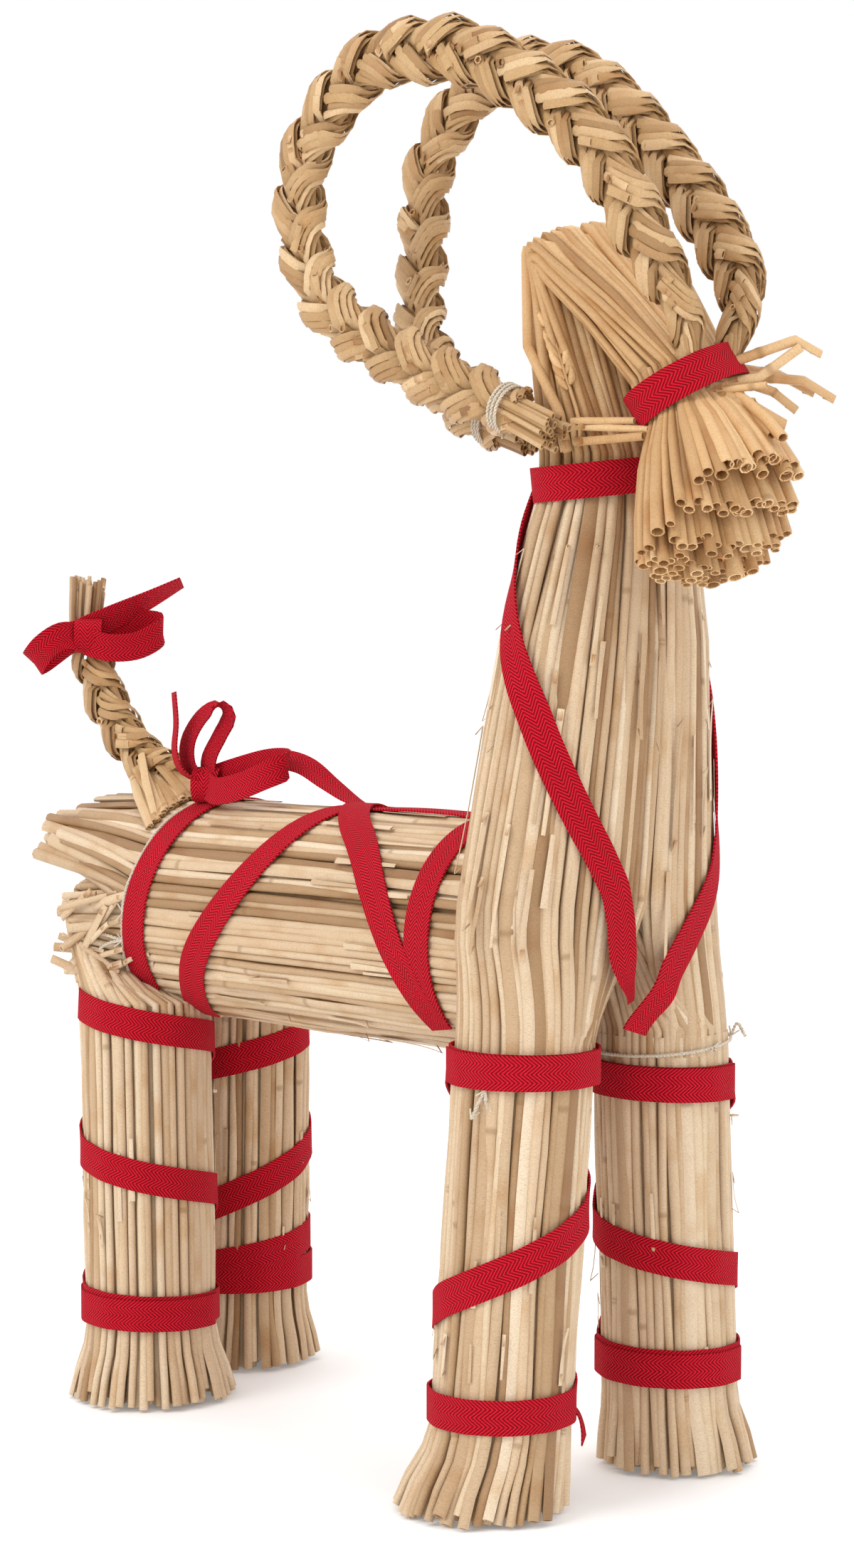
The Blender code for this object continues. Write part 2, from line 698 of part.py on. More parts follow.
def tail_bow(route):
    at = route[-4]
    along = (route[-3] - route[-5]).normalized()
    wide = SIDEWAYS.cross(along)
    clear = GAP + 2 * TAPE_EASE
    made = hoop("tail_bow", at, wide, SIDEWAYS, TAIL_HALF_WIDTH, TAIL_HALF_THICKNESS, clear, TAPE_STEPS)
    centre = at + TOWARDS_RIGHT_FRONT * (TAIL_HALF_WIDTH + TAIL_KNOT_STAND)
    tie = knot("tail_bow_knot", centre, TOWARDS_RIGHT_FRONT)
    tie.hide_render = True
    tie.display_type = "WIRE"
    join(made, tie)
    left_way = (-TOWARDS_LEFT_FRONT - UP * 0.55).normalized()
    right_way = (TOWARDS_LEFT_FRONT + TOWARDS_RIGHT_FRONT * 0.15).normalized()
    for label, way, length in (("left", left_way, TAIL_LOOPS[0]), ("right", right_way, TAIL_LOOPS[1])):
        loop_name = f"tail_bow_{label}_loop"
        join(made, bow_loop(loop_name, centre, way, TOWARDS_RIGHT_FRONT, length, TAIL_LOOP_OPENING))
    points = [centre, *(centre + TOWARDS_LEFT_FRONT * out + UP * rise for out, rise in TAIL_END)]
    join(made, bow_end("tail_bow_end", points, UP))


for old in list(bpy.data.objects):
    bpy.data.objects.remove(old)

goat = bpy.data.objects.new("goat", None)
bpy.context.scene.collection.objects.link(goat)
straw = material("straw", *STRAW)
plaited_straw = material("plaited_straw", *PLAITED_STRAW)
red_tape = material("red_tape", *RED_TAPE)
string = material("string", *STRING)

front_bundle()
body = skin("body_bundle", body_rings(), straw)
chest_cutter = skin("chest_room", chest_rings(GAP), straw, helper=True)
cut(body, chest_cutter)
body_cutter = skin("body_room", body_rings(WRAP), straw, helper=True)

for leg_name, leg_sizes in LEGS.items():
    leg_bundle(leg_name, leg_sizes, body_cutter)
    leg_tape(leg_name, leg_sizes)

right_route = smooth_route([CREST_PIVOT + Vector(step) for step in HORN_RIGHT_ROUTE], HORN_RINGS)
left_route = smooth_route([CREST_PIVOT + Vector(step) for step in HORN_LEFT_ROUTE], HORN_RINGS)
rump_top = UP * (RUMP_HEIGHT + RUMP_DEPTH)
tail_route = smooth_route([rump_top + Vector(step) for step in TAIL_ROUTE], TAIL_RINGS)
for horn_name, horn_route in (("horn_right", right_route), ("horn_left", left_route)):
    plait(horn_name, horn_route, HORN_HALF_WIDTH, HORN_HALF_THICKNESS, HORN_START, HORN_END)
plait("tail", tail_route, TAIL_HALF_WIDTH, TAIL_HALF_THICKNESS)

rump_tape()
shoulder_tape()
crossing_tape("flank_tape_right", 1, 0)
crossing_tape("flank_tape_left", -1, 1)
back_tape()
chest_tape("chest_tape_right", CHEST_TAPE_RIGHT)
chest_tape("chest_tape_left", CHEST_TAPE_LEFT)
_, neck_depth, neck_width, neck_lean = CHEST_ROWS[-1]
hoop(
    "neck_tape", Vector((neck_lean, 0, NECK_TIE)), SIDEWAYS, FORWARD, neck_width, neck_depth,
    GAP + TAPE_EASE, BODY_TAPE_STEPS,
)
_, snout_way = snout_line()
hoop(
    "snout_tape", SNOUT_TIE, SIDEWAYS, SIDEWAYS.cross(snout_way), SNOUT_HALF_WIDTH, SNOUT_HALF_DEPTH,
    GAP + TAPE_EASE, BODY_TAPE_STEPS,
)

rump_string()
leg_top_string()
horn_string(right_route)
rump_bow()
tail_bow(tail_route)

corners = [
    vertex.co for part in goat.children if not part.hide_render for vertex in part.data.vertices
]
lowest = Vector(min(corner[axis] for corner in corners) for axis in range(3))
highest = Vector(max(corner[axis] for corner in corners) for axis in range(3))
goat.location = (-(lowest.x + highest.x) / 2, -(lowest.y + highest.y) / 2, -lowest.z)
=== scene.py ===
"""A straw yule goat bound with red cotton tape, on a pale floor under soft light."""
import math
import random

import bpy
import numpy as np
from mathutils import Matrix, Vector


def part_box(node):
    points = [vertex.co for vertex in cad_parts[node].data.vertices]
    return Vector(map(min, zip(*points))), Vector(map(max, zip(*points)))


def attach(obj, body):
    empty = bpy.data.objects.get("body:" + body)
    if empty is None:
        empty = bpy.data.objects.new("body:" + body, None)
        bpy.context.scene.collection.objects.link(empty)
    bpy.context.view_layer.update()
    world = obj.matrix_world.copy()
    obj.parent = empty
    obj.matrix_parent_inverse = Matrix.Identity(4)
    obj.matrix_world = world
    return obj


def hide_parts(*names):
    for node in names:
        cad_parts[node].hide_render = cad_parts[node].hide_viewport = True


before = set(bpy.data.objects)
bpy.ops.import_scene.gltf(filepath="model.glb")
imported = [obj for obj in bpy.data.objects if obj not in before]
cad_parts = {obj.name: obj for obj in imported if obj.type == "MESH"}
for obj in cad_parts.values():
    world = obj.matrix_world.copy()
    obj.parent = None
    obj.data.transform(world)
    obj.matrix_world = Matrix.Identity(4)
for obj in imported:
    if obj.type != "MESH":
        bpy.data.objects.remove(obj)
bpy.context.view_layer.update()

UP = Vector((0, 0, 1))
FORWARD = Vector((1, 0, 0))
SIDEWAYS = Vector((0, 1, 0))

# The goat's own sizes in metres, drawn from the point on the floor midway between the front feet
TAPE_WIDTH = 0.015
TAPE_THICKNESS = 0.0009
BOW_TAPE_WIDTH = 0.0138
# How far the middle of a tape lies off the straws of the barrel, and of the legs and the chest
TAPE_OFF_BARREL = 0.0008
TAPE_OFF_UPRIGHTS = 0.0010
BODY_RADIUS = 0.0535
BODY_HEIGHT = 0.240
RUMP_END = -0.346
RUMP_WIDTH = 0.043
RUMP_DEPTH = 0.022
RUMP_HEIGHT = 0.2670
RUMP_TAPE_X = -0.249
RUMP_TAPE_SLANT = 0.010
SHOULDER_TAPE_X = -0.0525
BACK_TAPE = (-0.149, -0.050)
NECK_TIE = 0.447
CHEST_BOTTOM = 0.205
# Height, half the depth, half the width, and how far forward the middle lies
CHEST_ROWS = (
    (CHEST_BOTTOM, 0.0360, 0.0745, 0.0000),
    (0.250, 0.0375, 0.0755, 0.0000),
    (0.312, 0.0370, 0.0655, 0.0047),
    (0.374, 0.0355, 0.0555, 0.0100),
    (0.421, 0.0310, 0.0435, 0.0140),
    (NECK_TIE - TAPE_WIDTH / 2, 0.0275, 0.0365, 0.0145),
    (NECK_TIE + TAPE_WIDTH / 2, 0.0275, 0.0365, 0.0145),
)
CREST_PIVOT = Vector((0.014, 0.0, 0.527))
CREST_DEPTH = 0.029
CREST_HALF_WIDTH = 0.040
FOLD_INNER = 0.0045
SNOUT_DROP = math.radians(32)
SNOUT_TIE = Vector((0.057, 0.0, 0.482))
SNOUT_HALF_DEPTH = 0.0175
SNOUT_HALF_WIDTH = 0.0285
FRONT_LEG_RADIUS = 0.0310
HIND_LEG_RADIUS = 0.0320
HIND_LEG_SQUEEZE = 0.196
FLARE_HEIGHT = 0.036
RING_STEP = 0.0043
# The heights at which a leg's straws are placed, above their cut ends
FRONT_LEG_HEIGHTS = (
    0.199, 0.192, 0.178, 0.158, 0.138, 0.118, 0.098, 0.078, 0.060, 0.048, 0.036, 0.026, 0.014,
)
HIND_LEG_HEIGHTS = (0.186, 0.170, 0.150, 0.130, 0.110, 0.090, 0.070, 0.055, 0.045, 0.036, 0.026, 0.014)
FOOT_HEIGHTS = (0.060, 0.036, 0.026, 0.014)
CHEST_HEIGHTS = (
    0.4460, 0.4400, 0.4310, 0.4210, 0.400, 0.374, 0.345, 0.315, 0.285, 0.262, 0.246, 0.234, 0.222,
    0.212, 0.202, 0.192, 0.185,
)
# Each leg leans out by its lean at the foot, turn is the way its tape winds, and passes are the heights of
# the tape at every half turn
LEGS = {
    "front_leg_right": {
        "foot": (0.000, -0.0570), "top": (0.000, -0.0385), "radius": FRONT_LEG_RADIUS,
        "foot_radius": 0.0365, "lean": (-0.004, -0.005), "hind": False,
        "turn": -1, "passes": (0.192, 0.193, 0.192, 0.192, 0.132, 0.086, 0.047, 0.046, 0.046),
    },
    "front_leg_left": {
        "foot": (0.000, 0.0570), "top": (0.000, 0.0470), "radius": FRONT_LEG_RADIUS,
        "foot_radius": 0.0340, "lean": (0.001, 0.001), "hind": False,
        "turn": 1, "passes": (0.180, 0.177, 0.180, 0.176, 0.110, 0.089, 0.052, 0.050, 0.050, 0.048),
    },
    "hind_leg_right": {
        "foot": (-0.261, -0.0340), "top": (-0.265, -0.0345), "radius": HIND_LEG_RADIUS,
        "foot_radius": 0.0390, "lean": (0.000, 0.000), "hind": True,
        "turn": 1, "passes": (0.197, 0.177, 0.125, 0.102, 0.050, 0.046, 0.047, 0.045),
    },
    "hind_leg_left": {
        "foot": (-0.292, 0.0520), "top": (-0.272, 0.0380), "radius": HIND_LEG_RADIUS,
        "foot_radius": 0.0380, "lean": (0.000, 0.000), "hind": True,
        "turn": -1, "passes": (0.176, 0.150, 0.117, 0.070, 0.068, 0.048, 0.050, 0.047),
    },
}
SIDE_RIGHT = math.radians(46)
SIDE_LEFT = math.radians(226)
HORN_RIGHT_ROUTE = (
    (0.0690, -0.0140, 0.5060), (0.0600, -0.0270, 0.5380), (0.0350, -0.0370, 0.5850),
    (-0.0180, -0.0430, 0.6220), (-0.0560, -0.0450, 0.6310), (-0.0950, -0.0470, 0.6260),
    (-0.1310, -0.0500, 0.5860), (-0.1190, -0.0510, 0.5300), (-0.0620, -0.0500, 0.4960),
    (-0.0010, -0.0480, 0.4730), (0.0180, -0.0480, 0.4680),
)
HORN_LEFT_ROUTE = (
    (0.0690, 0.0170, 0.5060), (0.0620, 0.0270, 0.5290), (0.0240, 0.0370, 0.5710),
    (-0.0310, 0.0400, 0.6190), (-0.0700, 0.0390, 0.6325), (-0.1050, 0.0370, 0.6300),
    (-0.1270, 0.0270, 0.5950), (-0.1230, 0.0180, 0.5540), (-0.1060, 0.0020, 0.5090),
    (-0.0600, -0.0140, 0.4770), (-0.0155, -0.0200, 0.4630),
)
TAIL_ROUTE = (
    (-0.276, 0.0, 0.3012), (-0.300, 0.0, 0.3062), (-0.318, 0.0, 0.3170), (-0.334, 0.0, 0.3340),
    (-0.347, 0.0, 0.3560), (-0.353, 0.0, 0.3770), (-0.351, 0.0, 0.4000),
)
# Degrees up from the right flank, and the place along the barrel
RISING_TAPE = (
    (-67.5, -0.236), (-22, -0.210), (6, -0.186), (26, -0.171), (48, -0.160), (68, -0.154),
    (90, -0.147), (112, -0.130), (136, -0.101), (165, -0.078), (193, -0.0625), (215, -0.0545),
    (225, -0.0510),
)
# Height, and degrees round the chest from its front
CHEST_TAPE_RIGHT = (
    (0.438, -148), (0.413, -126), (0.375, -94), (0.345, -68), (0.315, -47), (0.285, -27),
    (0.269, -18), (0.253, -14), (0.240, -13), (0.229, -11), (0.219, -8),
)
CHEST_TAPE_LEFT = (
    (0.438, 150), (0.400, 112), (0.355, 84), (0.320, 68), (0.290, 56), (0.270, 45), (0.250, 25),
    (0.232, 11), (0.216, 5), (0.204, 2),
)

# How the snout runs down from the crest, and the way its upper side faces
CREST_WAY = Vector((math.cos(SNOUT_DROP), 0, math.sin(SNOUT_DROP)))
SNOUT_TOP = CREST_PIVOT + CREST_WAY * ((CREST_DEPTH + FOLD_INNER) / 2)
SNOUT_WAY = (SNOUT_TIE - SNOUT_TOP).normalized()
SNOUT_FACE = SNOUT_WAY.cross(SIDEWAYS)
FRONT_LEFT = Vector((0.693, 0.721, 0.0))
FRONT_RIGHT = Vector((0.721, -0.693, 0.0))
# Straws that stand away from the muzzle, each with its radius. A point is given by how far it lies forward
# and left, up, and forward and right of the snout's tie.
MUZZLE_STRAYS = (
    (((0.012, 0.008, 0.004), (0.046, 0.020, 0.000), (0.057, 0.014, -0.002)), 0.0023),
    (((0.016, 0.002, 0.006), (0.030, 0.004, 0.005), (0.048, 0.017, 0.002)), 0.0021),
    (((0.006, -0.003, 0.016), (0.032, 0.000, 0.018)), 0.0017),
    (((0.016, 0.006, -0.004), (0.050, 0.003, -0.004), (0.063, -0.005, -0.004)), 0.0025),
    (((0.014, 0.010, -0.008), (0.040, 0.006, -0.010), (0.055, -0.002, -0.010)), 0.0024),
    (((0.018, 0.004, 0.002), (0.036, -0.002, 0.004), (0.046, -0.010, 0.004)), 0.0026),
    (((0.010, 0.000, 0.014), (0.026, -0.009, 0.019), (0.040, -0.017, 0.017)), 0.0038),
    (((0.010, -0.005, 0.017), (0.018, -0.008, 0.021), (0.027, -0.008, 0.021)), 0.0032),
    (((-0.001, 0.006, 0.017), (0.003, -0.010, 0.0225), (0.008, -0.024, 0.026)), 0.0030),
)
# Straws that hang loose at the neck's right side, each with its radius
LOOSE_STRAWS = (
    (((0.004, -0.037, 0.540), (0.0005, -0.0405, 0.541), (0.002, -0.041, 0.500), (0.019, -0.039, 0.471),
      (0.020, -0.035, 0.455)), 0.0024),
    (((0.004, -0.034, 0.545), (0.006, -0.036, 0.500), (0.019, -0.036, 0.455)), 0.0019),
    (((0.024, -0.034, 0.4655), (0.058, -0.026, 0.4635)), 0.0017),
    (((0.024, -0.035, 0.4590), (0.057, -0.028, 0.4607)), 0.0020),
    (((0.020, -0.030, 0.452), (0.024, -0.036, 0.4680), (0.050, -0.026, 0.4675)), 0.0016),
)
GRAIN_STALK = (
    (0.021, -0.031, 0.450), (0.027, -0.034, 0.466), (0.019, -0.036, 0.490), (0.009, -0.035, 0.512),
)
# Where the goat stands in the shared frame
barrel_low, barrel_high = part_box("body_bundle")
SHIFT = Vector((barrel_low.x - RUMP_END, (barrel_low.y + barrel_high.y) / 2, 0))

# Straw. A node is given by steps along the stem, how much it swells there, and whether it is darker.
STEM_SIDES = 8
STEM_RADIUS = 0.0021
STEM_WALL = 0.68
HOLLOW_DEPTH = 0.005
NODE_STEPS = ((-0.0022, 1.0, 0.0), (-0.0006, 1.12, 1.0), (0.0006, 1.06, 1.0), (0.0022, 0.98, 0.0))
# The turn from one straw to the next that spreads them evenly over a disc
DISC_TURN = 2.399963


def linear(red, green, blue):
    """A colour read off a screen, as light."""
    parts = [channel / 255 for channel in (red, green, blue)]
    return tuple(c / 12.92 if c <= 0.04045 else ((c + 0.055) / 1.055) ** 2.4 for c in parts) + (1,)


def between(value, first, last):
    """Where value lies from first to last, eased at both ends."""
    share = min(max((value - first) / (last - first), 0.0), 1.0)
    return share * share * (3 - 2 * share)


def row_at(rows, value):
    """The row of a table at this value of its first column."""
    for low, high in zip(rows, rows[1:]):
        if value <= high[0] or high is rows[-1]:
            share = (value - low[0]) / (high[0] - low[0])
            return [a + share * (b - a) for a, b in zip(low, high)]


def running_length(route):
    """How far along the route each of its points lies."""
    run = [0.0]
    for first, second in zip(route, route[1:]):
        run.append(run[-1] + (second - first).length)
    return run


def level_way(angle):
    """The level way out at this angle round an upright line."""
    return Vector((math.cos(angle), math.sin(angle), 0))


def way_along(route, i):
    """The way that a route runs at one of its points."""
    return (route[min(i + 1, len(route) - 1)] - route[max(i - 1, 0)]).normalized()


def plait_ways(along):
    """The ways that a plait's width and thickness lie, where it runs this way."""
    thick = (SIDEWAYS - along * SIDEWAYS.dot(along)).normalized()
    return thick.cross(along), thick


def from_the_front(rows, start=Vector((0, 0, 0))):
    """Points given by how far they lie forward and left, up, and forward and right of the start."""
    return [start + FRONT_LEFT * a + UP * b + FRONT_RIGHT * c for a, b, c in rows]


def smooth_route(points, count, fine_steps=12):
    """Points at even steps along a smooth curve through the given ones."""
    points = [Vector(point) for point in points]
    ends = [2 * points[0] - points[1], *points, 2 * points[-1] - points[-2]]
    fine = []
    for before, start, end, after in zip(ends, ends[1:], ends[2:], ends[3:]):
        for step in range(fine_steps):
            t = step / fine_steps
            fine.append(0.5 * (
                2 * start + (end - before) * t + (2 * before - 5 * start + 4 * end - after) * t ** 2
                + (3 * start - before - 3 * end + after) * t ** 3
            ))
    fine.append(points[-1])
    run = running_length(fine)
    route, at = [], 0
    for step in range(count):
        wanted = run[-1] * step / (count - 1)
        while at < len(run) - 2 and run[at + 1] < wanted:
            at += 1
        share = (wanted - run[at]) / max(run[at + 1] - run[at], 1e-9)
        route.append(fine[at].lerp(fine[at + 1], share))
    return route


def socket_of(sockets, identifier):
    """One of several sockets that share a name."""
    return next(socket for socket in sockets if socket.identifier == identifier)


class NodeWork:
    """A node tree in the making."""

    def feed(self, socket, value):
        """Gives an input another node's output, or a value."""
        if isinstance(value, bpy.types.NodeSocket):
            self.tree.links.new(value, socket)
        else:
            socket.default_value = value

    def node(self, kind, feeds=None, **settings):
        """A node with its settings, and what feeds each of its inputs."""
        made = self.tree.nodes.new(kind)
        for key, value in settings.items():
            setattr(made, key, value)
        for label, value in (feeds or {}).items():
            self.feed(made.inputs[label], value)
        return made

    def math(self, operation, first, second=0.0, clamp=False):
        """A sum of two numbers."""
        made = self.node("ShaderNodeMath", operation=operation, use_clamp=clamp)
        self.feed(made.inputs[0], first)
        self.feed(made.inputs[1], second)
        return made.outputs[0]


class Tree(NodeWork):
    """A geometry node tree in the making."""

    def __init__(self, name, sizes):
        self.tree = bpy.data.node_groups.new(name, "GeometryNodeTree")
        face = self.tree.interface
        face.new_socket("Guides", in_out="INPUT", socket_type="NodeSocketGeometry")
        for label, value in sizes.items():
            kind = "NodeSocketInt" if isinstance(value, int) else "NodeSocketFloat"
            face.new_socket(label, in_out="INPUT", socket_type=kind).default_value = value
        face.new_socket("Finish", in_out="INPUT", socket_type="NodeSocketMaterial")
        face.new_socket("Made", in_out="OUTPUT", socket_type="NodeSocketGeometry")
        self.given = self.tree.nodes.new("NodeGroupInput")
        self.result = self.tree.nodes.new("NodeGroupOutput")

    def size(self, label):
        """One of the tree's named inputs."""
        return self.given.outputs[label]

    def fact(self, label, kind):
        """An attribute that the guides carry."""
        return self.node("GeometryNodeInputNamedAttribute", {"Name": label}, data_type=kind).outputs[0]

    def store(self, shape, label, value, kind):
        """The shape with one more attribute."""
        return self.node(
            "GeometryNodeStoreNamedAttribute", {"Geometry": shape, "Name": label, "Value": value},
            data_type=kind, domain="POINT",
        ).outputs[0]

    def sums(self, operation, *values):
        """A vector sum, with the plain number it gives where it gives one."""
        made = self.node("ShaderNodeVectorMath", operation=operation)
        for socket, value in zip([s for s in made.inputs if s.enabled], values):
            self.feed(socket, value)
        return made.outputs["Value" if operation in ("DOT_PRODUCT", "LENGTH") else "Vector"]

    def finish(self, shape):
        """The tree, giving this shape as one real mesh with its material."""
        whole = self.node("GeometryNodeRealizeInstances", {"Geometry": shape}).outputs[0]
        dressed = self.node("GeometryNodeSetMaterial", {"Geometry": whole, "Material": self.size("Finish")})
        self.tree.links.new(dressed.outputs[0], self.result.inputs[0])
        return self.tree


def hollow_stem_tree():
    """Straws: tubes swept along the guides, pressed flat where the guide says, with hollow cut ends."""
    t = Tree("hollow stems", {"Stem sides": STEM_SIDES, "Wall": STEM_WALL, "Hollow depth": HOLLOW_DEPTH})
    lines = t.node("GeometryNodeMeshToCurve", {"Mesh": t.size("Guides")}).outputs[0]
    place = t.node("GeometryNodeInputPosition").outputs[0]
    lines = t.store(lines, "centre", place, "FLOAT_VECTOR")
    ring = t.node("GeometryNodeCurvePrimitiveCircle", {"Resolution": t.size("Stem sides"), "Radius": 1.0})
    tube = t.node("GeometryNodeCurveToMesh", {
        "Curve": lines, "Profile Curve": ring.outputs[0], "Scale": t.fact("thickness", "FLOAT"),
        "Fill Caps": True,
    }).outputs[0]
    out = t.fact("outward", "FLOAT_VECTOR")
    off = t.sums("SUBTRACT", place, t.fact("centre", "FLOAT_VECTOR"))
    pressed = t.math("MULTIPLY", t.sums("DOT_PRODUCT", off, out), t.fact("flat", "FLOAT"))
    drop = t.node("ShaderNodeVectorMath", {"Vector": out, "Scale": pressed}, operation="SCALE")
    tube = t.store(tube, "off", off, "FLOAT_VECTOR")
    tube = t.node("GeometryNodeSetPosition", {
        "Geometry": tube, "Position": t.sums("SUBTRACT", place, drop.outputs[0]),
    }).outputs[0]
    corners = t.node("GeometryNodeInputMeshFaceNeighbors").outputs["Vertex Count"]
    cut = t.node("FunctionNodeCompare", data_type="INT", operation="GREATER_THAN")
    t.feed(socket_of(cut.inputs, "A_INT"), corners)
    t.feed(socket_of(cut.inputs, "B_INT"), 4)
    rim = t.node("GeometryNodeExtrudeMesh", {
        "Mesh": tube, "Selection": cut.outputs[0], "Offset Scale": 0.0, "Individual": True,
    }, mode="FACES")
    mouth = t.node("GeometryNodeScaleElements", {
        "Geometry": rim.outputs["Mesh"], "Selection": rim.outputs["Top"], "Scale": t.size("Wall"),
    }, domain="FACE")
    depth = t.math("MULTIPLY", t.size("Hollow depth"), -1.0)
    bore = t.node("GeometryNodeExtrudeMesh", {
        "Mesh": mouth.outputs[0], "Selection": rim.outputs["Top"], "Offset Scale": depth, "Individual": True,
    }, mode="FACES")
    # The bore of each cut end is marked as inside, where the straw finish paints shade.
    floor = t.node("GeometryNodeStoreNamedAttribute", {
        "Geometry": bore.outputs["Mesh"], "Name": "inside", "Value": 1.0, "Selection": bore.outputs["Top"],
    }, data_type="FLOAT", domain="POINT")
    return t.finish(floor.outputs[0])


def ribbon_tree():
    """Woven tape: a flat strip swept along the guides, with its flat side facing their outward way."""
    t = Tree("woven ribbon", {"Width": TAPE_WIDTH, "Thickness": TAPE_THICKNESS, "Width steps": 8})
    lines = t.node("GeometryNodeMeshToCurve", {"Mesh": t.size("Guides")}).outputs[0]
    lines = t.node("GeometryNodeSetCurveNormal", {
        "Curve": lines, "Normal": t.fact("outward", "FLOAT_VECTOR"),
    }, mode="FREE").outputs[0]
    edge = t.node("GeometryNodeCurvePrimitiveQuadrilateral", {
        "Width": t.size("Thickness"), "Height": t.size("Width"),
    }).outputs[0]
    edge = t.node("GeometryNodeSubdivideCurve", {"Curve": edge, "Cuts": t.size("Width steps")}).outputs[0]
    split = t.node("ShaderNodeSeparateXYZ", {"Vector": t.node("GeometryNodeInputPosition").outputs[0]})
    edge = t.store(edge, "across", split.outputs["Y"], "FLOAT")
    strip = t.node("GeometryNodeCurveToMesh", {
        "Curve": lines, "Profile Curve": edge, "Scale": t.fact("thickness", "FLOAT"), "Fill Caps": True,
    }).outputs[0]
    return t.finish(strip)


class Guides:
    """Centre lines for straws, tape or thread, and what each needs to know at every point."""

    KINDS = {"thickness": "FLOAT", "flat": "FLOAT", "tint": "FLOAT", "joint": "FLOAT", "along": "FLOAT"}

    def __init__(self):
        self.points, self.edges, self.outward = [], [], []
        self.facts = {label: [] for label in self.KINDS}

    def add(self, route, thickness, outward, flat=0.0, tint=0.5, joints=(), closed=False):
        """One line. Each joint is how far along the line the stem has a node, in metres."""
        wide, out, press = (
            given if isinstance(given, (list, tuple)) else [given] * len(route)
            for given in (thickness, outward, flat)
        )
        run = running_length(route)
        rows = [(*row, 0.0) for row in zip(run, route, wide, out, press)]
        for at, swell, mark in ((joint + step, s, m) for joint in joints for step, s, m in NODE_STEPS):
            for low, high in zip(range(len(run)), range(1, len(run))):
                if run[low] < at < run[high]:
                    share = (at - run[low]) / (run[high] - run[low])
                    rows.append((
                        at, route[low].lerp(route[high], share),
                        (wide[low] + share * (wide[high] - wide[low])) * swell,
                        out[low], press[low] + share * (press[high] - press[low]), mark,
                    ))
        rows.sort(key=lambda row: row[0])
        base = len(self.points)
        for at, point, w, o, f, mark in rows:
            self.points.append(point + SHIFT)
            self.outward.append(o)
            for label, value in zip(self.KINDS, (w, f, tint, mark, at)):
                self.facts[label].append(value)
        self.edges += [(base + i, base + i + 1) for i in range(len(rows) - 1)]
        if closed:
            self.edges.append((base + len(rows) - 1, base))

    def mesh(self, name):
        """The lines as a mesh of points and edges that carries what they know."""
        made = bpy.data.meshes.new(name)
        made.from_pydata(self.points, self.edges, [])
        ways = made.attributes.new("outward", "FLOAT_VECTOR", "POINT")
        ways.data.foreach_set("vector", np.array(self.outward, dtype=float).ravel())
        for label, kind in self.KINDS.items():
            made.attributes.new(label, kind, "POINT").data.foreach_set("value", self.facts[label])
        return made


def grow(name, guides, tree, finish, nodes, sizes, sharp=62):
    """Makes what a tree grows from the guides a plain mesh that stands for the named solids."""
    rough = bpy.data.objects.new(name + "_guides", guides.mesh(name + "_guides"))
    bpy.context.scene.collection.objects.link(rough)
    modifier = rough.modifiers.new("made", "NODES")
    modifier.node_group = tree
    given = {"Finish": finish, **sizes}
    for item in tree.interface.items_tree:
        if item.in_out == "INPUT" and item.name in given:
            modifier[item.identifier] = given[item.name]
    graph = bpy.context.evaluated_depsgraph_get()
    mesh = bpy.data.meshes.new_from_object(
        rough.evaluated_get(graph), preserve_all_data_layers=True, depsgraph=graph
    )
    bpy.data.objects.remove(rough)
    mesh.name = name
    for label in ("centre", "outward", "thickness", "flat"):
        if label in mesh.attributes:
            mesh.attributes.remove(mesh.attributes[label])
    mesh.shade_smooth()
    mesh.set_sharp_from_angle(angle=math.radians(sharp))
    made = bpy.data.objects.new(name, mesh)
    bpy.context.scene.collection.objects.link(made)
    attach(made, "root")
    if nodes:
        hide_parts(*nodes)


class Finish(NodeWork):
    """A material in the making."""

    def __init__(self, name):
        self.made = bpy.data.materials.new(name)
        self.made.use_nodes = True
        self.tree = self.made.node_tree
        self.shader = self.tree.nodes["Principled BSDF"]

    def fact(self, label, output="Fac"):
        """An attribute that the mesh carries."""
        made = self.node("ShaderNodeAttribute", attribute_name=label, attribute_type="GEOMETRY")
        return made.outputs[output]

    def noise(self, scale, detail):
        """A noise over the piece's own place."""
        place = self.node("ShaderNodeTexCoord").outputs["Object"]
        feeds = {"Vector": place, "Scale": scale, "Detail": detail}
        return self.node("ShaderNodeTexNoise", feeds).outputs["Fac"]

    def ramp(self, feed, stops):
        """Colours by a number from 0 to 1."""
        made = self.node("ShaderNodeValToRGB", {"Fac": feed})
        keys = made.color_ramp.elements
        while len(keys) < len(stops):
            keys.new(0.5)
        for key, (place, colour) in zip(keys, stops):
            key.position = place
            key.color = colour
        return made.outputs[0]

    def blend(self, share, first, second, kind="MIX"):
        """Two colours laid over each other."""
        made = self.node("ShaderNodeMix", data_type="RGBA", blend_type=kind)
        for label, value in (("Factor_Float", share), ("A_Color", first), ("B_Color", second)):
            self.feed(socket_of(made.inputs, label), value)
        return socket_of(made.outputs, "Result_Color")

    def surface(self, colour, roughness, height=None, strength=0.0, depth=0.0, **more):
        """The finished surface, raised by a height map, with other settings of its shader."""
        feeds = {"Base Color": colour, "Roughness": roughness}
        feeds.update({label.replace("_", " "): value for label, value in more.items()})
        if height is not None:
            rise = self.node("ShaderNodeBump", {"Height": height, "Strength": strength, "Distance": depth})
            feeds["Normal"] = rise.outputs[0]
        for label, value in feeds.items():
            self.feed(self.shader.inputs[label], value)
        return self.made


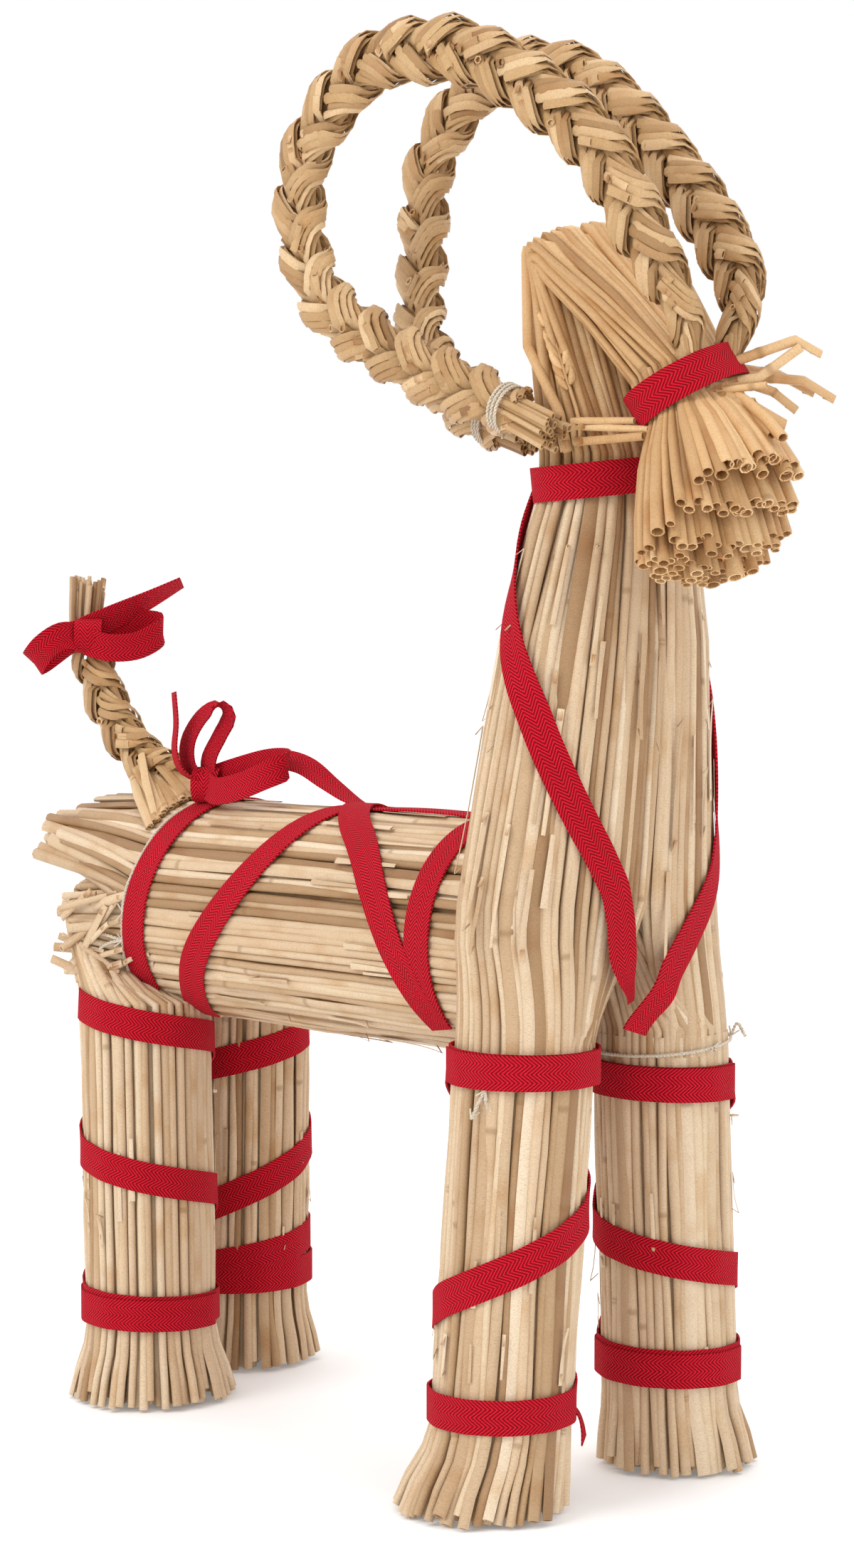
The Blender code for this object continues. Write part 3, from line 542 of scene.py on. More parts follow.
def straw_finish(name, stops, roughness, fibre_depth):
    """Dry straw: every stem has its own tone, fine fibres along it, stained patches and darker nodes, and
    painted shade in the hollow of each cut end.
    """
    f = Finish(name)
    tint, along, joint, inside = (f.fact(label) for label in ("tint", "along", "joint", "inside"))
    off = f.fact("off", "Vector")
    own = f.math("MULTIPLY", tint, 61.0)
    fibre_place = f.math("ADD", f.math("MULTIPLY", along, 14.0), own)
    fibres = f.node("ShaderNodeTexNoise", {
        "Vector": off, "W": fibre_place, "Scale": 1050.0, "Detail": 3.0, "Roughness": 0.68,
    }, noise_dimensions="4D").outputs["Fac"]
    stain = f.node("ShaderNodeTexNoise", {
        "W": f.math("ADD", f.math("MULTIPLY", along, 32.0), f.math("MULTIPLY", tint, 83.0)),
        "Scale": 1.0, "Detail": 2.0,
    }, noise_dimensions="1D").outputs["Fac"]
    colour = f.ramp(tint, stops)
    streak = f.ramp(fibres, [
        (0.34, (0.50, 0.38, 0.27, 1)), (0.46, (0.90, 0.86, 0.81, 1)), (0.64, (1.10, 1.10, 1.09, 1)),
    ])
    colour = f.blend(0.95, colour, streak, "MULTIPLY")
    worn = f.math("MULTIPLY", f.math("SUBTRACT", stain, 0.52, clamp=True), 2.6, clamp=True)
    colour = f.blend(worn, colour, f.blend(1.0, colour, (0.80, 0.64, 0.46, 1), "MULTIPLY"))
    ringed = f.math("MULTIPLY", joint, 0.45, clamp=True)
    colour = f.blend(ringed, colour, linear(139, 98, 52))
    # The hollow of each cut end, where inside is set, is painted darker brown: painted shade in the bore.
    colour = f.blend(f.math("MULTIPLY", inside, 0.80), colour, linear(158, 106, 56))
    return f.surface(colour, roughness, fibres, 0.55, fibre_depth, Specular_IOR_Level=0.42)


def tape_finish():
    """Red cotton tape in a herringbone twill, matt, with a little wear in its colour, its grooves painted
    darker and its ridges lighter as painted shade and light.
    """
    f = Finish("red herringbone tape")
    across, along = (f.math("MULTIPLY", f.fact(label), 1000.0) for label in ("across", "along"))
    zigzag = f.math("PINGPONG", f.math("ADD", across, 30.0), 3.75)
    slope = f.math("ADD", along, f.math("MULTIPLY", zigzag, 1.2))
    rib = f.math("SINE", f.math("MULTIPLY", slope, math.tau / 1.9))
    thread = f.math("SINE", f.math("MULTIPLY", across, math.tau / 0.62))
    cloth = f.math("ADD", f.math("MULTIPLY", rib, 0.7), f.math("MULTIPLY", thread, 0.3))
    fuzz, fade = f.noise(2300.0, 2.0), f.noise(60.0, 3.0)
    height = f.math("ADD", f.math("MULTIPLY", cloth, 0.5), fuzz)
    # The colour follows the weave's height and a fine fuzz: the fuzz is the threads' own uneven tone, the
    # grooves painted dark are painted shade and the ridges painted bright are painted light.
    depth = f.math("ADD", f.math("MULTIPLY", cloth, 0.74), 0.5)
    depth = f.math("ADD", depth, f.math("MULTIPLY", f.math("SUBTRACT", fuzz, 0.5), 0.6), clamp=True)
    colour = f.ramp(depth, [
        (0.00, linear(92, 0, 8)), (0.48, linear(180, 0, 22)), (1.00, linear(236, 34, 60)),
    ])
    colour = f.blend(f.math("MULTIPLY", fade, 0.30), colour, linear(170, 6, 24))
    return f.surface(
        colour, 0.88, height, 0.9, 0.0005, Specular_IOR_Level=0.14, Sheen_Weight=0.02, Sheen_Roughness=0.4
    )


def string_finish():
    """Undyed cotton string, spun and slightly fuzzy."""
    f = Finish("cotton string")
    fuzz = f.noise(2600.0, 2.0)
    colour = f.ramp(fuzz, [(0.3, linear(176, 160, 138)), (0.7, linear(236, 226, 208))])
    return f.surface(colour, 0.9, fuzz, 0.6, 0.0003)


def floor_finish():
    """The floor: matt, nearly white, and a little brighter than the light alone makes it."""
    f = Finish("pale floor")
    colour = f.ramp(f.noise(3.0, 2.0), [(0.0, (0.86, 0.86, 0.86, 1)), (1.0, (0.90, 0.90, 0.90, 1))])
    return f.surface(colour, 0.9, Emission_Color=(1, 1, 1, 1), Emission_Strength=0.16)


straw = straw_finish("dry straw", [
    (0.00, linear(243, 225, 198)), (0.18, linear(226, 201, 169)), (0.34, linear(202, 171, 135)),
    (0.48, linear(235, 213, 181)), (0.64, linear(215, 186, 151)), (0.78, linear(229, 203, 170)),
    (0.90, linear(190, 156, 116)), (1.00, linear(164, 127, 89)),
], 0.40, 0.0005)
golden_straw = straw_finish("golden straw", [
    (0.00, linear(238, 205, 158)), (0.25, linear(224, 184, 132)), (0.50, linear(206, 163, 112)),
    (0.75, linear(232, 194, 144)), (1.00, linear(184, 140, 90)),
], 0.40, 0.0003)
brown_straw = straw_finish("plaited straw", [
    (0.00, linear(226, 195, 152)), (0.22, linear(202, 165, 116)), (0.42, linear(182, 143, 96)),
    (0.60, linear(214, 180, 135)), (0.80, linear(190, 152, 104)), (1.00, linear(151, 112, 69)),
], 0.36, 0.0004)
red_tape = tape_finish()
cotton = string_finish()
stems = hollow_stem_tree()
ribbon = ribbon_tree()


def flare(height):
    """How far a leg has opened out at this height: 0 above the foot, 1 on the floor."""
    return between(FLARE_HEIGHT - height, 0, FLARE_HEIGHT)


def leg_centre(leg, height):
    """The middle of a leg at this height."""
    foot, top = Vector((*leg["foot"], 0)), Vector((*leg["top"], 0))
    lean = Vector((*leg["lean"], 0)) * flare(height)
    return foot.lerp(top, height / CHEST_BOTTOM) + lean + Vector((0, 0, height))


def leg_radius(leg, height):
    """A leg's radius at this height."""
    return leg["radius"] + (leg["foot_radius"] - leg["radius"]) * flare(height)


def stem_girth(luck, slimmest, broadest, round_share, presses, broader=1.0):
    """A stem's radius and how far it is pressed flat. A pressed stem is broader."""
    thick = STEM_RADIUS * luck.uniform(slimmest, broadest)
    flat = 0.0 if luck.random() < round_share else luck.uniform(*presses)
    return thick * (broader if flat else 1.0), flat


def foot_cut(luck):
    """How high above the floor a straw of a foot is cut."""
    return luck.uniform(0.0012, 0.0032) if luck.random() < 0.8 else luck.uniform(0.003, 0.010)


def stem_tone(luck):
    """A stem's tone: mostly pale, now and then tan."""
    return luck.random() ** 0.85


def stem_joints(luck, length, odds=0.55):
    """Where along the stem its nodes sit."""
    if luck.random() > odds:
        return ()
    return (luck.uniform(0.08, 0.92) * length,)


def near_tape(point, reach=0.0135):
    """Whether a tape runs close by this point."""
    return float(np.min(np.sum((TAPE_LINES - np.array(point)) ** 2, axis=1))) < reach * reach


def loose_strips(guides, luck, surface, count, low, high, longest):
    """Torn sheaths and thin straws that lie on a bundle, one end of each standing a little away."""
    for _ in range(count):
        place = luck.uniform(0, math.tau)
        start = luck.uniform(low, high)
        reach = luck.uniform(0.4, 1.0) * longest * luck.choice((-1, 1))
        drift = luck.uniform(-0.004, 0.004)
        wide = luck.uniform(0.0007, 0.0017)
        ends = [surface(place, min(max(at, low), high))[0] for at in (start + reach * 0.6, start + reach)]
        lift = 0.0001 if any(near_tape(end) for end in ends) else luck.uniform(0.0006, 0.0034)
        route, outs, sizes = [], [], []
        for i in range(6):
            share = i / 5
            point, out = surface(place + drift * share, min(max(start + reach * share, low), high))
            route.append(point + out * (0.0005 + lift * share ** 3))
            outs.append(out)
            sizes.append(wide * (1 - 0.4 * share))
        guides.add(route, sizes, outs, 0.8, luck.random() * 0.5)


def leg_surface(leg):
    """What gives the points on a leg's surface, by angle and height."""
    def surface(angle, height):
        """A point on the leg, and the way out of it."""
        out = level_way(angle)
        return leg_centre(leg, height) + out * leg_radius(leg, height), out
    return surface


def leg_stems(leg, seed):
    """A leg: rings of straw one inside the other, spreading below the lowest tape into a cut foot."""
    luck = random.Random(seed)
    guides = Guides()
    for ring in range(7):
        inset = ring * RING_STEP
        radius = leg["radius"] - inset
        count = max(round(math.tau * (radius - 0.002) / 0.0040), 1)
        for k in range(count):
            angle = math.tau * (k + luck.uniform(-0.3, 0.3) + 0.5 * ring) / count
            out = level_way(angle)
            thick, flat = stem_girth(luck, 0.78, 1.24, 0.62, (0.25, 0.65), 1.36)
            heights = [*(FRONT_LEG_HEIGHTS if ring < 2 else FOOT_HEIGHTS), foot_cut(luck)]
            spread = luck.uniform(-0.0014, 0.0026) if luck.random() < 0.8 else luck.uniform(0.002, 0.0048)
            bow = luck.uniform(-0.0007, 0.0005)
            phase = luck.uniform(0, math.tau)
            set_back = luck.uniform(0.0, 0.0010)
            route = []
            for height in heights:
                reach = leg_radius(leg, height) * (1 - inset / leg["radius"])
                reach += spread * flare(height) - thick * (1 - flat) - set_back
                reach += bow * math.sin(phase + height * 60)
                side = out.cross(UP) * (0.0006 * math.sin(phase * 2 + height * 45))
                route.append(leg_centre(leg, height) + out * reach + side)
            tone = stem_tone(luck)
            guides.add(route, thick, out, flat, tone, stem_joints(luck, 0.19) if ring == 0 else ())
    loose_strips(guides, luck, leg_surface(leg), 16, 0.05, 0.16, 0.035)
    return guides


def chest_place(height, degrees):
    """A point on the chest's surface, and the way out of it."""
    _, half_depth, half_width, lean = row_at(CHEST_ROWS, height)
    angle = math.radians(degrees)
    out = Vector((math.cos(angle) / half_depth, math.sin(angle) / half_width, 0)).normalized()
    return Vector((lean + half_depth * math.cos(angle), half_width * math.sin(angle), height)), out


def chest_angles(count, height):
    """Angles that part the chest's outline into equal lengths."""
    run = running_length([chest_place(height, a)[0] for a in range(361)])
    angles = []
    for k in range(count):
        wanted = run[-1] * k / count
        at = max(i for i in range(361) if run[i] <= wanted)
        angles.append(at + (wanted - run[at]) / max(run[min(at + 1, 360)] - run[at], 1e-9))
    return angles


def leg_ring_place(degrees, height, inset=0.0):
    """Where a chest straw at this angle enters the leg below it."""
    turned = (degrees + 180) % 360 - 180
    leg = LEGS["front_leg_right" if turned < 0 else "front_leg_left"]
    outer = -90 if turned < 0 else 90
    out = level_way(math.radians(outer + (turned - outer) * 1.5))
    return leg_centre(leg, height) + out * (leg["radius"] - inset), out


def chest_stems(seed):
    """The chest: straws that fan out below the neck's tape and part towards the two legs."""
    luck = random.Random(seed)
    guides = Guides()
    for layer, count in ((0, 92), (1, 70)):
        for k, degrees in enumerate(chest_angles(count, 0.25)):
            degrees += luck.uniform(-1.1, 1.1) + layer * 2
            thick, flat = stem_girth(luck, 0.85, 1.2, 0.55, (0.3, 0.65), 1.42)
            sunk = 0.0036 if k % 2 else 0.0
            set_back = luck.uniform(0.0, 0.0014)
            bow = luck.uniform(-0.0005, 0.0006)
            phase = luck.uniform(0, math.tau)
            drift = luck.uniform(-1.6, 1.6)
            route, outs = [], []
            for height in CHEST_HEIGHTS:
                wander = drift * math.sin(phase + height * 9)
                place, out = chest_place(max(height, CHEST_BOTTOM), degrees + wander)
                place.z = height
                inset = layer * 0.0038 + sunk * between(height, 0.335, 0.43) + thick * (1 - flat) + set_back
                place -= out * (inset + bow * math.sin(phase + height * 50))
                share = between(0.270 - height, 0, 0.072)
                if share > 0:
                    goal, ring_out = leg_ring_place(degrees, height, inset)
                    place = place.lerp(goal, share)
                    out = out.lerp(ring_out, share).normalized()
                route.append(place)
                outs.append(out)
            tone = stem_tone(luck)
            guides.add(route, thick, outs, flat, tone, stem_joints(luck, 0.26, 0.7) if layer == 0 else ())
    for side, leg_name in ((-1, "front_leg_right"), (1, "front_leg_left")):
        leg = LEGS[leg_name]
        for k in range(27):
            ring = math.radians(side * -90 + (k - 13) * 7 + luck.uniform(-2, 2))
            out = level_way(ring)
            thick = STEM_RADIUS * luck.uniform(0.9, 1.15)
            foot = leg_centre(leg, 0.190) + out * (leg["radius"] - thick)
            inward = side * 0.005 + 0.002 * math.sin(ring)
            upper = Vector((0.022 * math.cos(ring), inward, luck.uniform(0.250, 0.266)))
            middle = foot.lerp(upper, 0.42) + UP * 0.004
            guides.add([foot, foot + UP * 0.012, middle, upper], thick, out, 0.0, stem_tone(luck))
    loose_strips(
        guides, luck, lambda turn, height: chest_place(height, math.degrees(turn)), 46, 0.232, 0.415, 0.07
    )
    return guides


def body_place(angle, x, lift=0.0):
    """A point on the barrel's surface or above it, by the angle up from its right side, and the way out."""
    out = Vector((0, -math.cos(angle), math.sin(angle)))
    return Vector((x, 0, BODY_HEIGHT)) + out * (BODY_RADIUS + lift), out


def barrel_stems(seed):
    """The barrel: straws that lie along the back and flanks. The upper ones run on past the rump."""
    luck = random.Random(seed)
    guides = Guides()
    for layer, count in ((0, 90), (1, 84)):
        for k in range(count):
            angle = math.tau * (k + luck.uniform(-0.32, 0.32) + 0.5 * layer) / count
            thick, flat = stem_girth(luck, 0.86, 1.22, 0.72, (0.3, 0.6), 1.25)
            inset = layer * 0.0030 + thick * (1 - flat) + luck.uniform(0.0, 0.0010)
            bow = luck.uniform(-0.0008, 0.0010)
            phase = luck.uniform(0, math.tau)
            drift = luck.uniform(-0.02, 0.02)
            upper = math.sin(angle) > 0.02
            end = luck.uniform(-0.345, -0.318) if upper else -0.252 - luck.uniform(0, 0.003)
            front = -0.028 + 0.1 * (BODY_RADIUS * math.sin(angle))
            stations = [front, -0.050, -0.075, -0.10, -0.13, -0.16, -0.19, -0.22, -0.246]
            route, outs = [], []
            for x in stations:
                place, out = body_place(angle + drift * math.sin(phase + x * 22), x, -inset)
                route.append(place + out * (bow * math.sin(phase + x * 55)))
                outs.append(out)
            if upper:
                turned = math.pi * (-0.06 + 1.12 * (angle / math.pi))
                goal = Vector((
                    end, -(RUMP_WIDTH - inset) * math.cos(turned),
                    RUMP_HEIGHT + (RUMP_DEPTH - inset) * math.sin(turned),
                ))
                goal += Vector((0, luck.uniform(-0.004, 0.004), luck.uniform(-0.005, 0.0025)))
                start = body_place(angle, -0.256, -inset)[0]
                for share in (0.0, 0.25, 0.55, 1.0):
                    place = start.lerp(goal, share)
                    place.z += 0.0012 * math.sin(share * math.pi)
                    route.append(place)
                    outs.append(outs[-1])
            else:
                route.append(body_place(angle, end, -inset)[0])
                outs.append(outs[-1])
            sizes = [thick] * (len(route) - 2) + [thick * 1.12, thick * 1.25] if upper else thick
            tone = stem_tone(luck)
            guides.add(route, sizes, outs, flat, tone, stem_joints(luck, 0.22, 0.6) if layer == 0 else ())
    for k in range(46):
        share = math.sqrt((k + 0.5) / 46)
        turn = k * DISC_TURN
        y = (RUMP_WIDTH - 0.0075) * share * math.cos(turn)
        z = RUMP_HEIGHT + (RUMP_DEPTH - 0.0065) * share * math.sin(turn)
        end = luck.uniform(-0.344, -0.318)
        start = Vector((-0.235, y * 0.93, z + 0.0005))
        goal = Vector((end, y + luck.uniform(-0.004, 0.004), z + luck.uniform(-0.004, 0.004)))
        thick = STEM_RADIUS * luck.uniform(0.9, 1.2)
        guides.add([start, start.lerp(goal, 0.5), goal], thick, UP, 0.0, stem_tone(luck))
    loose_strips(guides, luck, body_place, 36, -0.236, -0.062, 0.06)
    return guides


def hind_leg_stems(leg, seed):
    """A hind leg: straws from the barrel that fold sharply behind the rump's tape and run down."""
    luck = random.Random(seed)
    guides = Guides()
    side = math.copysign(1, leg["top"][1])
    for layer, count in ((0, 46), (1, 38), (2, 30), (3, 22), (4, 14), (5, 7), (6, 2)):
        for k in range(count):
            ring = math.tau * (k + luck.uniform(-0.3, 0.3) + 0.5 * layer) / count
            out = level_way(ring)
            thick, flat = stem_girth(luck, 0.86, 1.2, 0.7, (0.25, 0.6), 1.2)
            sized = 1 - layer * RING_STEP / leg["radius"]
            end = foot_cut(luck)
            spread = luck.uniform(-0.0012, 0.0025)
            bow = luck.uniform(-0.0006, 0.0008)
            phase = luck.uniform(0, math.tau)
            lower = []
            for height in (*(HIND_LEG_HEIGHTS if layer < 2 else FOOT_HEIGHTS), end):
                reach = leg_radius(leg, height) * sized + spread * flare(height) - thick * (1 - flat)
                reach += bow * math.sin(phase + height * 60)
                lower.append(leg_centre(leg, height) + out * reach)
            if layer > 1:
                guides.add(lower, thick, out, flat, stem_tone(luck))
                continue
            rear, outness = -math.cos(ring), math.sin(ring) * side
            z_barrel = 0.222 + 0.034 * rear * sized
            edge = math.sqrt(max((BODY_RADIUS - thick) ** 2 - (z_barrel - BODY_HEIGHT) ** 2, 0))
            y_barrel = side * (0.005 + (edge - 0.005) * (outness * sized + 1) / 2)
            corner = Vector((
                leg["top"][0] - 0.020 + math.cos(ring) * 0.0190 * sized,
                side * (abs(leg["top"][1]) + 0.003) + math.sin(ring) * (0.0265 * sized - thick),
                0.2275 + 0.0225 * rear * sized + luck.uniform(-0.0025, 0.0025),
            ))
            start = Vector((-0.2440, y_barrel, z_barrel))
            x_held = RUMP_TAPE_X - 0.0085 + RUMP_TAPE_SLANT * (z_barrel - BODY_HEIGHT) / BODY_RADIUS
            held = Vector((x_held, y_barrel, z_barrel))
            held.y -= side * 0.0006
            corner.x = min(corner.x, held.x - 0.004)
            way_in = (held - corner).normalized()
            squeeze = leg_centre(leg, HIND_LEG_SQUEEZE)
            squeeze += out * (leg["radius"] * sized - thick * (1 - flat))
            way_down = (squeeze - corner).normalized()
            upper = [
                start, held, corner + way_in * 0.0034, corner + way_in * 0.0011,
                corner + way_down * 0.0012, corner + way_down * 0.0042, corner.lerp(squeeze, 0.6), squeeze,
            ]
            route = upper + lower
            press = [flat, flat, max(flat, 0.3), 0.6, 0.6, max(flat, 0.3)] + [flat] * (len(route) - 6)
            facing = [Vector((0, side, 0.2)).normalized()] * 3 + [Vector((-1, 0, 0.5)).normalized()] * 3
            facing += [out] * (len(route) - 6)
            tone = stem_tone(luck)
            guides.add(route, thick, facing, press, tone, stem_joints(luck, 0.24) if layer == 0 else ())
    for _ in range(40):
        ring = math.tau * (0.5 - 0.17 * side + luck.uniform(-0.30, 0.30))
        foot = Vector((
            leg["top"][0] - 0.018 + math.cos(ring) * 0.017,
            side * (abs(leg["top"][1]) + 0.003) + math.sin(ring) * 0.0245, luck.uniform(0.206, 0.246),
        ))
        way = Vector((luck.uniform(-1.0, -0.1), math.sin(ring) * 0.22, luck.uniform(-0.8, 0.35))).normalized()
        tip = foot + way * luck.uniform(0.006, 0.015)
        wide = luck.uniform(0.0013, 0.0026)
        facing = Vector((0, side, 0.1)).normalized()
        sizes = [wide * 0.8, wide, wide]
        guides.add([foot - way * 0.015, foot, tip], sizes, facing, 0.5, luck.random() * 0.8)
    loose_strips(guides, luck, leg_surface(leg), 12, 0.05, 0.15, 0.035)
    return guides


def head_stems(seed):
    """Neck, crest, snout and muzzle: straws that fold sharply over the crest and fan out below a tape."""
    luck = random.Random(seed)
    guides = Guides()
    half_fold = (CREST_DEPTH - FOLD_INNER) / 2
    fold_centre = (CREST_DEPTH + FOLD_INNER) / 2
    _, tie_depth, tie_width, lean = CHEST_ROWS[-1]
    way, face = SNOUT_WAY, SNOUT_FACE
    mouth_way = (way - SIDEWAYS * 0.20).normalized()
    places = []
    rows, columns = 6, 19
    for row in range(rows):
        for k in range(columns):
            side = 2 * (k + 0.5 + luck.uniform(-0.28, 0.28)) / columns - 1
            deep = 2 * (row + 0.5) / rows - 1
            places.append((side, deep, True))
    for k in range(34):
        reach, turn = math.sqrt((k + 0.5) / 34), k * DISC_TURN
        places.append((reach * math.cos(turn), reach * math.sin(turn), False))
    for side, deep, whole in places:
        thick, flat = stem_girth(luck, 0.88, 1.22, 0.55, (0.25, 0.5))
        if whole:
            across = side * math.sqrt(1 - deep * deep / 2)
            through = deep * math.sqrt(1 - side * side / 2)
        else:
            across, through = side, deep
        tie = SNOUT_TIE + SIDEWAYS * ((SNOUT_HALF_WIDTH - thick) * across)
        tie += face * ((SNOUT_HALF_DEPTH - thick) * through)
        route, outs, press, sizes = [], [], [], []
        if whole:
            for height in (0.4415, 0.4545):
                route.append(Vector((
                    lean - (tie_depth - thick) * through, (tie_width - thick) * across, height,
                )))
            turn = math.radians(108 + luck.uniform(-5, 5))
            out = Vector((math.cos(turn), 0, math.sin(turn)))
            reach = fold_centre + half_fold * deep * math.sqrt(1 - 0.8 * side * side)
            corner = CREST_PIVOT + out * (reach * 1.10 - thick * 0.4)
            corner += SIDEWAYS * ((CREST_HALF_WIDTH + 0.0035 - thick) * side + luck.uniform(-0.001, 0.001))
            corner -= UP * (0.0055 * max(-side, 0) ** 1.5) + FORWARD * (0.003 * max(-side, 0))
            rise = (corner - route[-1]).normalized()
            fall = (tie - way * 0.012 - corner).normalized()
            wander = Vector((luck.uniform(-0.0016, 0.0016), luck.uniform(-0.0018, 0.0018), 0))
            route += [
                route[-1].lerp(corner, 0.45) + wander, corner - rise * 0.0100, corner - rise * 0.0022,
                corner, corner + fall * 0.0022, corner + fall * 0.0100,
                corner.lerp(tie - way * 0.012, 0.55) + wander * 0.7,
            ]
            outs = [-FORWARD] * 4 + [out] * 3 + [face] * 2
            press = [flat, flat, flat, 0.35, 0.62, 0.66, 0.62, 0.35, max(flat, 0.2)]
            sizes = [thick * swell for swell in (1, 1, 1, 1.12, 1.32, 1.36, 1.32, 1.15, 1)]
        hold = 0.0085 + 0.0075 * max(-across, 0)
        route += [tie - way * 0.006, tie + way * 0.002, tie + way * hold]
        depth = 0.090 - 0.042 * max(through, 0) ** 1.2 - 0.010 * across * across - 0.008 * max(-through, 0)
        depth *= luck.uniform(0.93, 1.03) if luck.random() < 0.9 else luck.uniform(0.70, 0.90)
        end = SNOUT_TIE + mouth_way * depth + SIDEWAYS * ((0.034 if across > 0 else 0.046) * across)
        end += face * ((0.040 if through > 0 else 0.026) * through)
        end += Vector((luck.uniform(-0.0016, 0.0016), luck.uniform(-0.0016, 0.0016), 0))
        start = route[-1]
        bow = (SIDEWAYS * across + face * through) * 0.0022
        route += [start.lerp(end, 0.32) + bow, start.lerp(end, 0.68) + bow * 0.8, end]
        swell = luck.uniform(1.12, 1.40)
        outs += [face] * 6
        press += [flat * share for share in (1, 1, 0.8, 0.7, 0.6, 0.6)]
        sizes += [thick * 0.85, thick * 0.85, thick * 0.9, thick * swell * 0.95, thick * swell, thick * swell]
        guides.add(route, sizes, outs, press, stem_tone(luck), stem_joints(luck, 0.2, 0.35))
    for offsets, wide in MUZZLE_STRAYS:
        route = from_the_front(offsets, SNOUT_TIE)
        guides.add(bent(route), wide, face, 0.45 if wide < 0.0027 else 0.66, stem_tone(luck), (0.020,))
    for route, wide in LOOSE_STRAWS:
        shifted = [Vector(point) + FRONT_LEFT * 0.0006 for point in route]
        guides.add(bent(shifted), wide * 0.9, FRONT_RIGHT, 0.55, luck.uniform(0.1, 0.6))
    stalk = [Vector(point) for point in GRAIN_STALK]
    guides.add(smooth_route(stalk, 12), 0.0009, FRONT_RIGHT, 0.0, 0.9)
    along = (stalk[-1] - stalk[-2]).normalized()
    for k in range(15):
        side = FRONT_LEFT * (1 if k % 2 else -1) + FRONT_RIGHT * luck.uniform(-0.2, 0.9)
        foot = stalk[-1] - along * (0.034 - 0.0024 * k) + side * 0.0008
        tip = foot + along * luck.uniform(0.0085, 0.0105) + side * 0.0026
        husk = [foot, foot.lerp(tip, 0.3) + side * 0.0008, foot.lerp(tip, 0.65) + side * 0.0007, tip]
        guides.add(husk, [0.0006, 0.0018, 0.0014, 0.0003], FRONT_RIGHT, 0.3, luck.uniform(0.7, 0.95))
    return guides


def bent(points, ease=0.0018):
    """The route with a tight crease at each of its inner corners."""
    route = [points[0]]
    for before, corner, after in zip(points, points[1:], points[2:]):
        route.append(corner + (before - corner).normalized() * ease)
        route.append(corner)
        route.append(corner + (after - corner).normalized() * ease)
    return [*route, points[-1]]


def plait_stems(points, half_width, half_thickness, period, seed, narrow_start, narrow_end, until=1.0):
    """A flat plait of three strands, each a band of flattened straws that folds over at the edges."""
    luck = random.Random(seed)
    guides = Guides()
    count = 301
    spine = smooth_route(points, count)
    step = (spine[1] - spine[0]).length
    whole = step * (count - 1)
    edge = half_width - 0.0012
    slant = math.atan(4 * edge / period)
    strand_width = period / 3 * math.sin(slant) * 1.12
    lanes = round(strand_width / 0.0031)
    rise = half_thickness * 0.46
    angles = [math.radians(turn) for turn in (0, 28, 54, 72, 83, 90, 97, 108, 126, 152)]

    def place_of(run, x, y):
        """A point of the plait, by its run along it, its place across and its height above the middle."""
        at = min(max(run / step, 0.0), count - 1.001)
        low = int(at)
        along = (spine[min(low + 3, count - 1)] - spine[max(low - 2, 0)]).normalized()
        wide, thick = plait_ways(along)
        share = run / whole
        size = 1 - (1 - narrow_start) * (1 - between(share, 0.02, 0.15))
        size *= 1 - (1 - narrow_end) * between(share, until - 0.08, until)
        point = spine[low].lerp(spine[low + 1], at - low)
        return point + wide * (x * size) + thick * (y * size), thick, wide, size

    for strand in range(3):
        lag = strand * math.tau / 3
        for layer in (1, -1):
            for lane in range(lanes):
                offset = (lane - (lanes - 1) / 2) / max((lanes - 1) / 2, 1)
                shift = offset * (strand_width / 2 - 0.0016) + luck.uniform(-0.0004, 0.0004)
                rows = []
                half_turn = -2
                while (half_turn * math.pi - lag) / math.tau * period - 0.02 < whole * until:
                    for angle in angles:
                        phase = half_turn * math.pi + angle
                        swing = math.asin(math.sin(phase)) * 2 / math.pi
                        behind = shift / math.sin(slant) * (1 - 0.52 * abs(swing) ** 1.6)
                        run = (phase - lag) / math.tau * period - behind
                        if -0.001 <= run <= whole * until:
                            rows.append((run, phase))
                    half_turn += 1
                at = -round((rows[0][1] / math.pi) % 1 * 10) - 10 * luck.randint(0, 2)
                while at < len(rows) - 4:
                    reach = 10 * luck.choice((2, 3, 4))
                    first, last = max(at - 1, 0), min(at + reach + 1, len(rows) - 1)
                    wide_here = luck.uniform(0.0018, 0.0025)
                    lift = luck.uniform(0.0002, 0.0012)
                    loose = luck.uniform(-0.0006, 0.0016)
                    skew = luck.uniform(-0.0005, 0.0005)
                    route, outs, sizes = [], [], []
                    for i in range(first, last + 1):
                        run, phase = rows[i]
                        swing = math.asin(math.sin(phase)) * 2 / math.pi
                        middle = lag + run / period * math.tau
                        crossing = middle + (phase - middle) * (0.5 + 0.5 * abs(swing) ** 1.5)
                        over = math.tanh(2.1 * math.sin(2 * crossing)) / math.tanh(2.1)
                        turned = math.pi / 2 * (1 - math.tanh(3.2 * math.cos(phase)) / math.tanh(3.2))
                        y = (rise + 0.0021 * offset) * over
                        x = edge * swing * (1.06 - 0.20 * offset * offset * abs(swing))
                        place, thick, wide, size = place_of(run + skew * swing, x, y)
                        out = (thick * math.cos(turned) + wide * math.sin(turned)).normalized()
                        ending = loose if i in (first, last) and 0 < i < len(rows) - 1 else 0.0
                        outer = out
                        if abs(over) + abs(swing) > 0.1:
                            outer = (thick * over + wide * swing ** 3).normalized()
                        raised = ending + 0.0008 * (1 - offset * offset) + lift * 0.3
                        route.append(place + out * (layer * (0.0008 + lift * 0.4)) + outer * raised)
                        outs.append(out)
                        sizes.append(wide_here * (0.55 + 0.45 * size) * (1.0 if abs(swing) < 0.85 else 0.9))
                    if last - first > 3:
                        guides.add(route, sizes, outs, 0.76, min(max(luck.gauss(0.42, 0.26), 0), 1))
                    at += reach
    for x in (-0.0078, -0.0027, 0.0027, 0.0078):
        route, outs = [], []
        for i in range(int(whole * until / 0.008)):
            place, thick, _, _ = place_of(0.004 + i * 0.008, x, 0.0)
            route.append(place)
            outs.append(thick)
        guides.add(route, 0.0029, outs, 0.35, 0.9)
    return guides


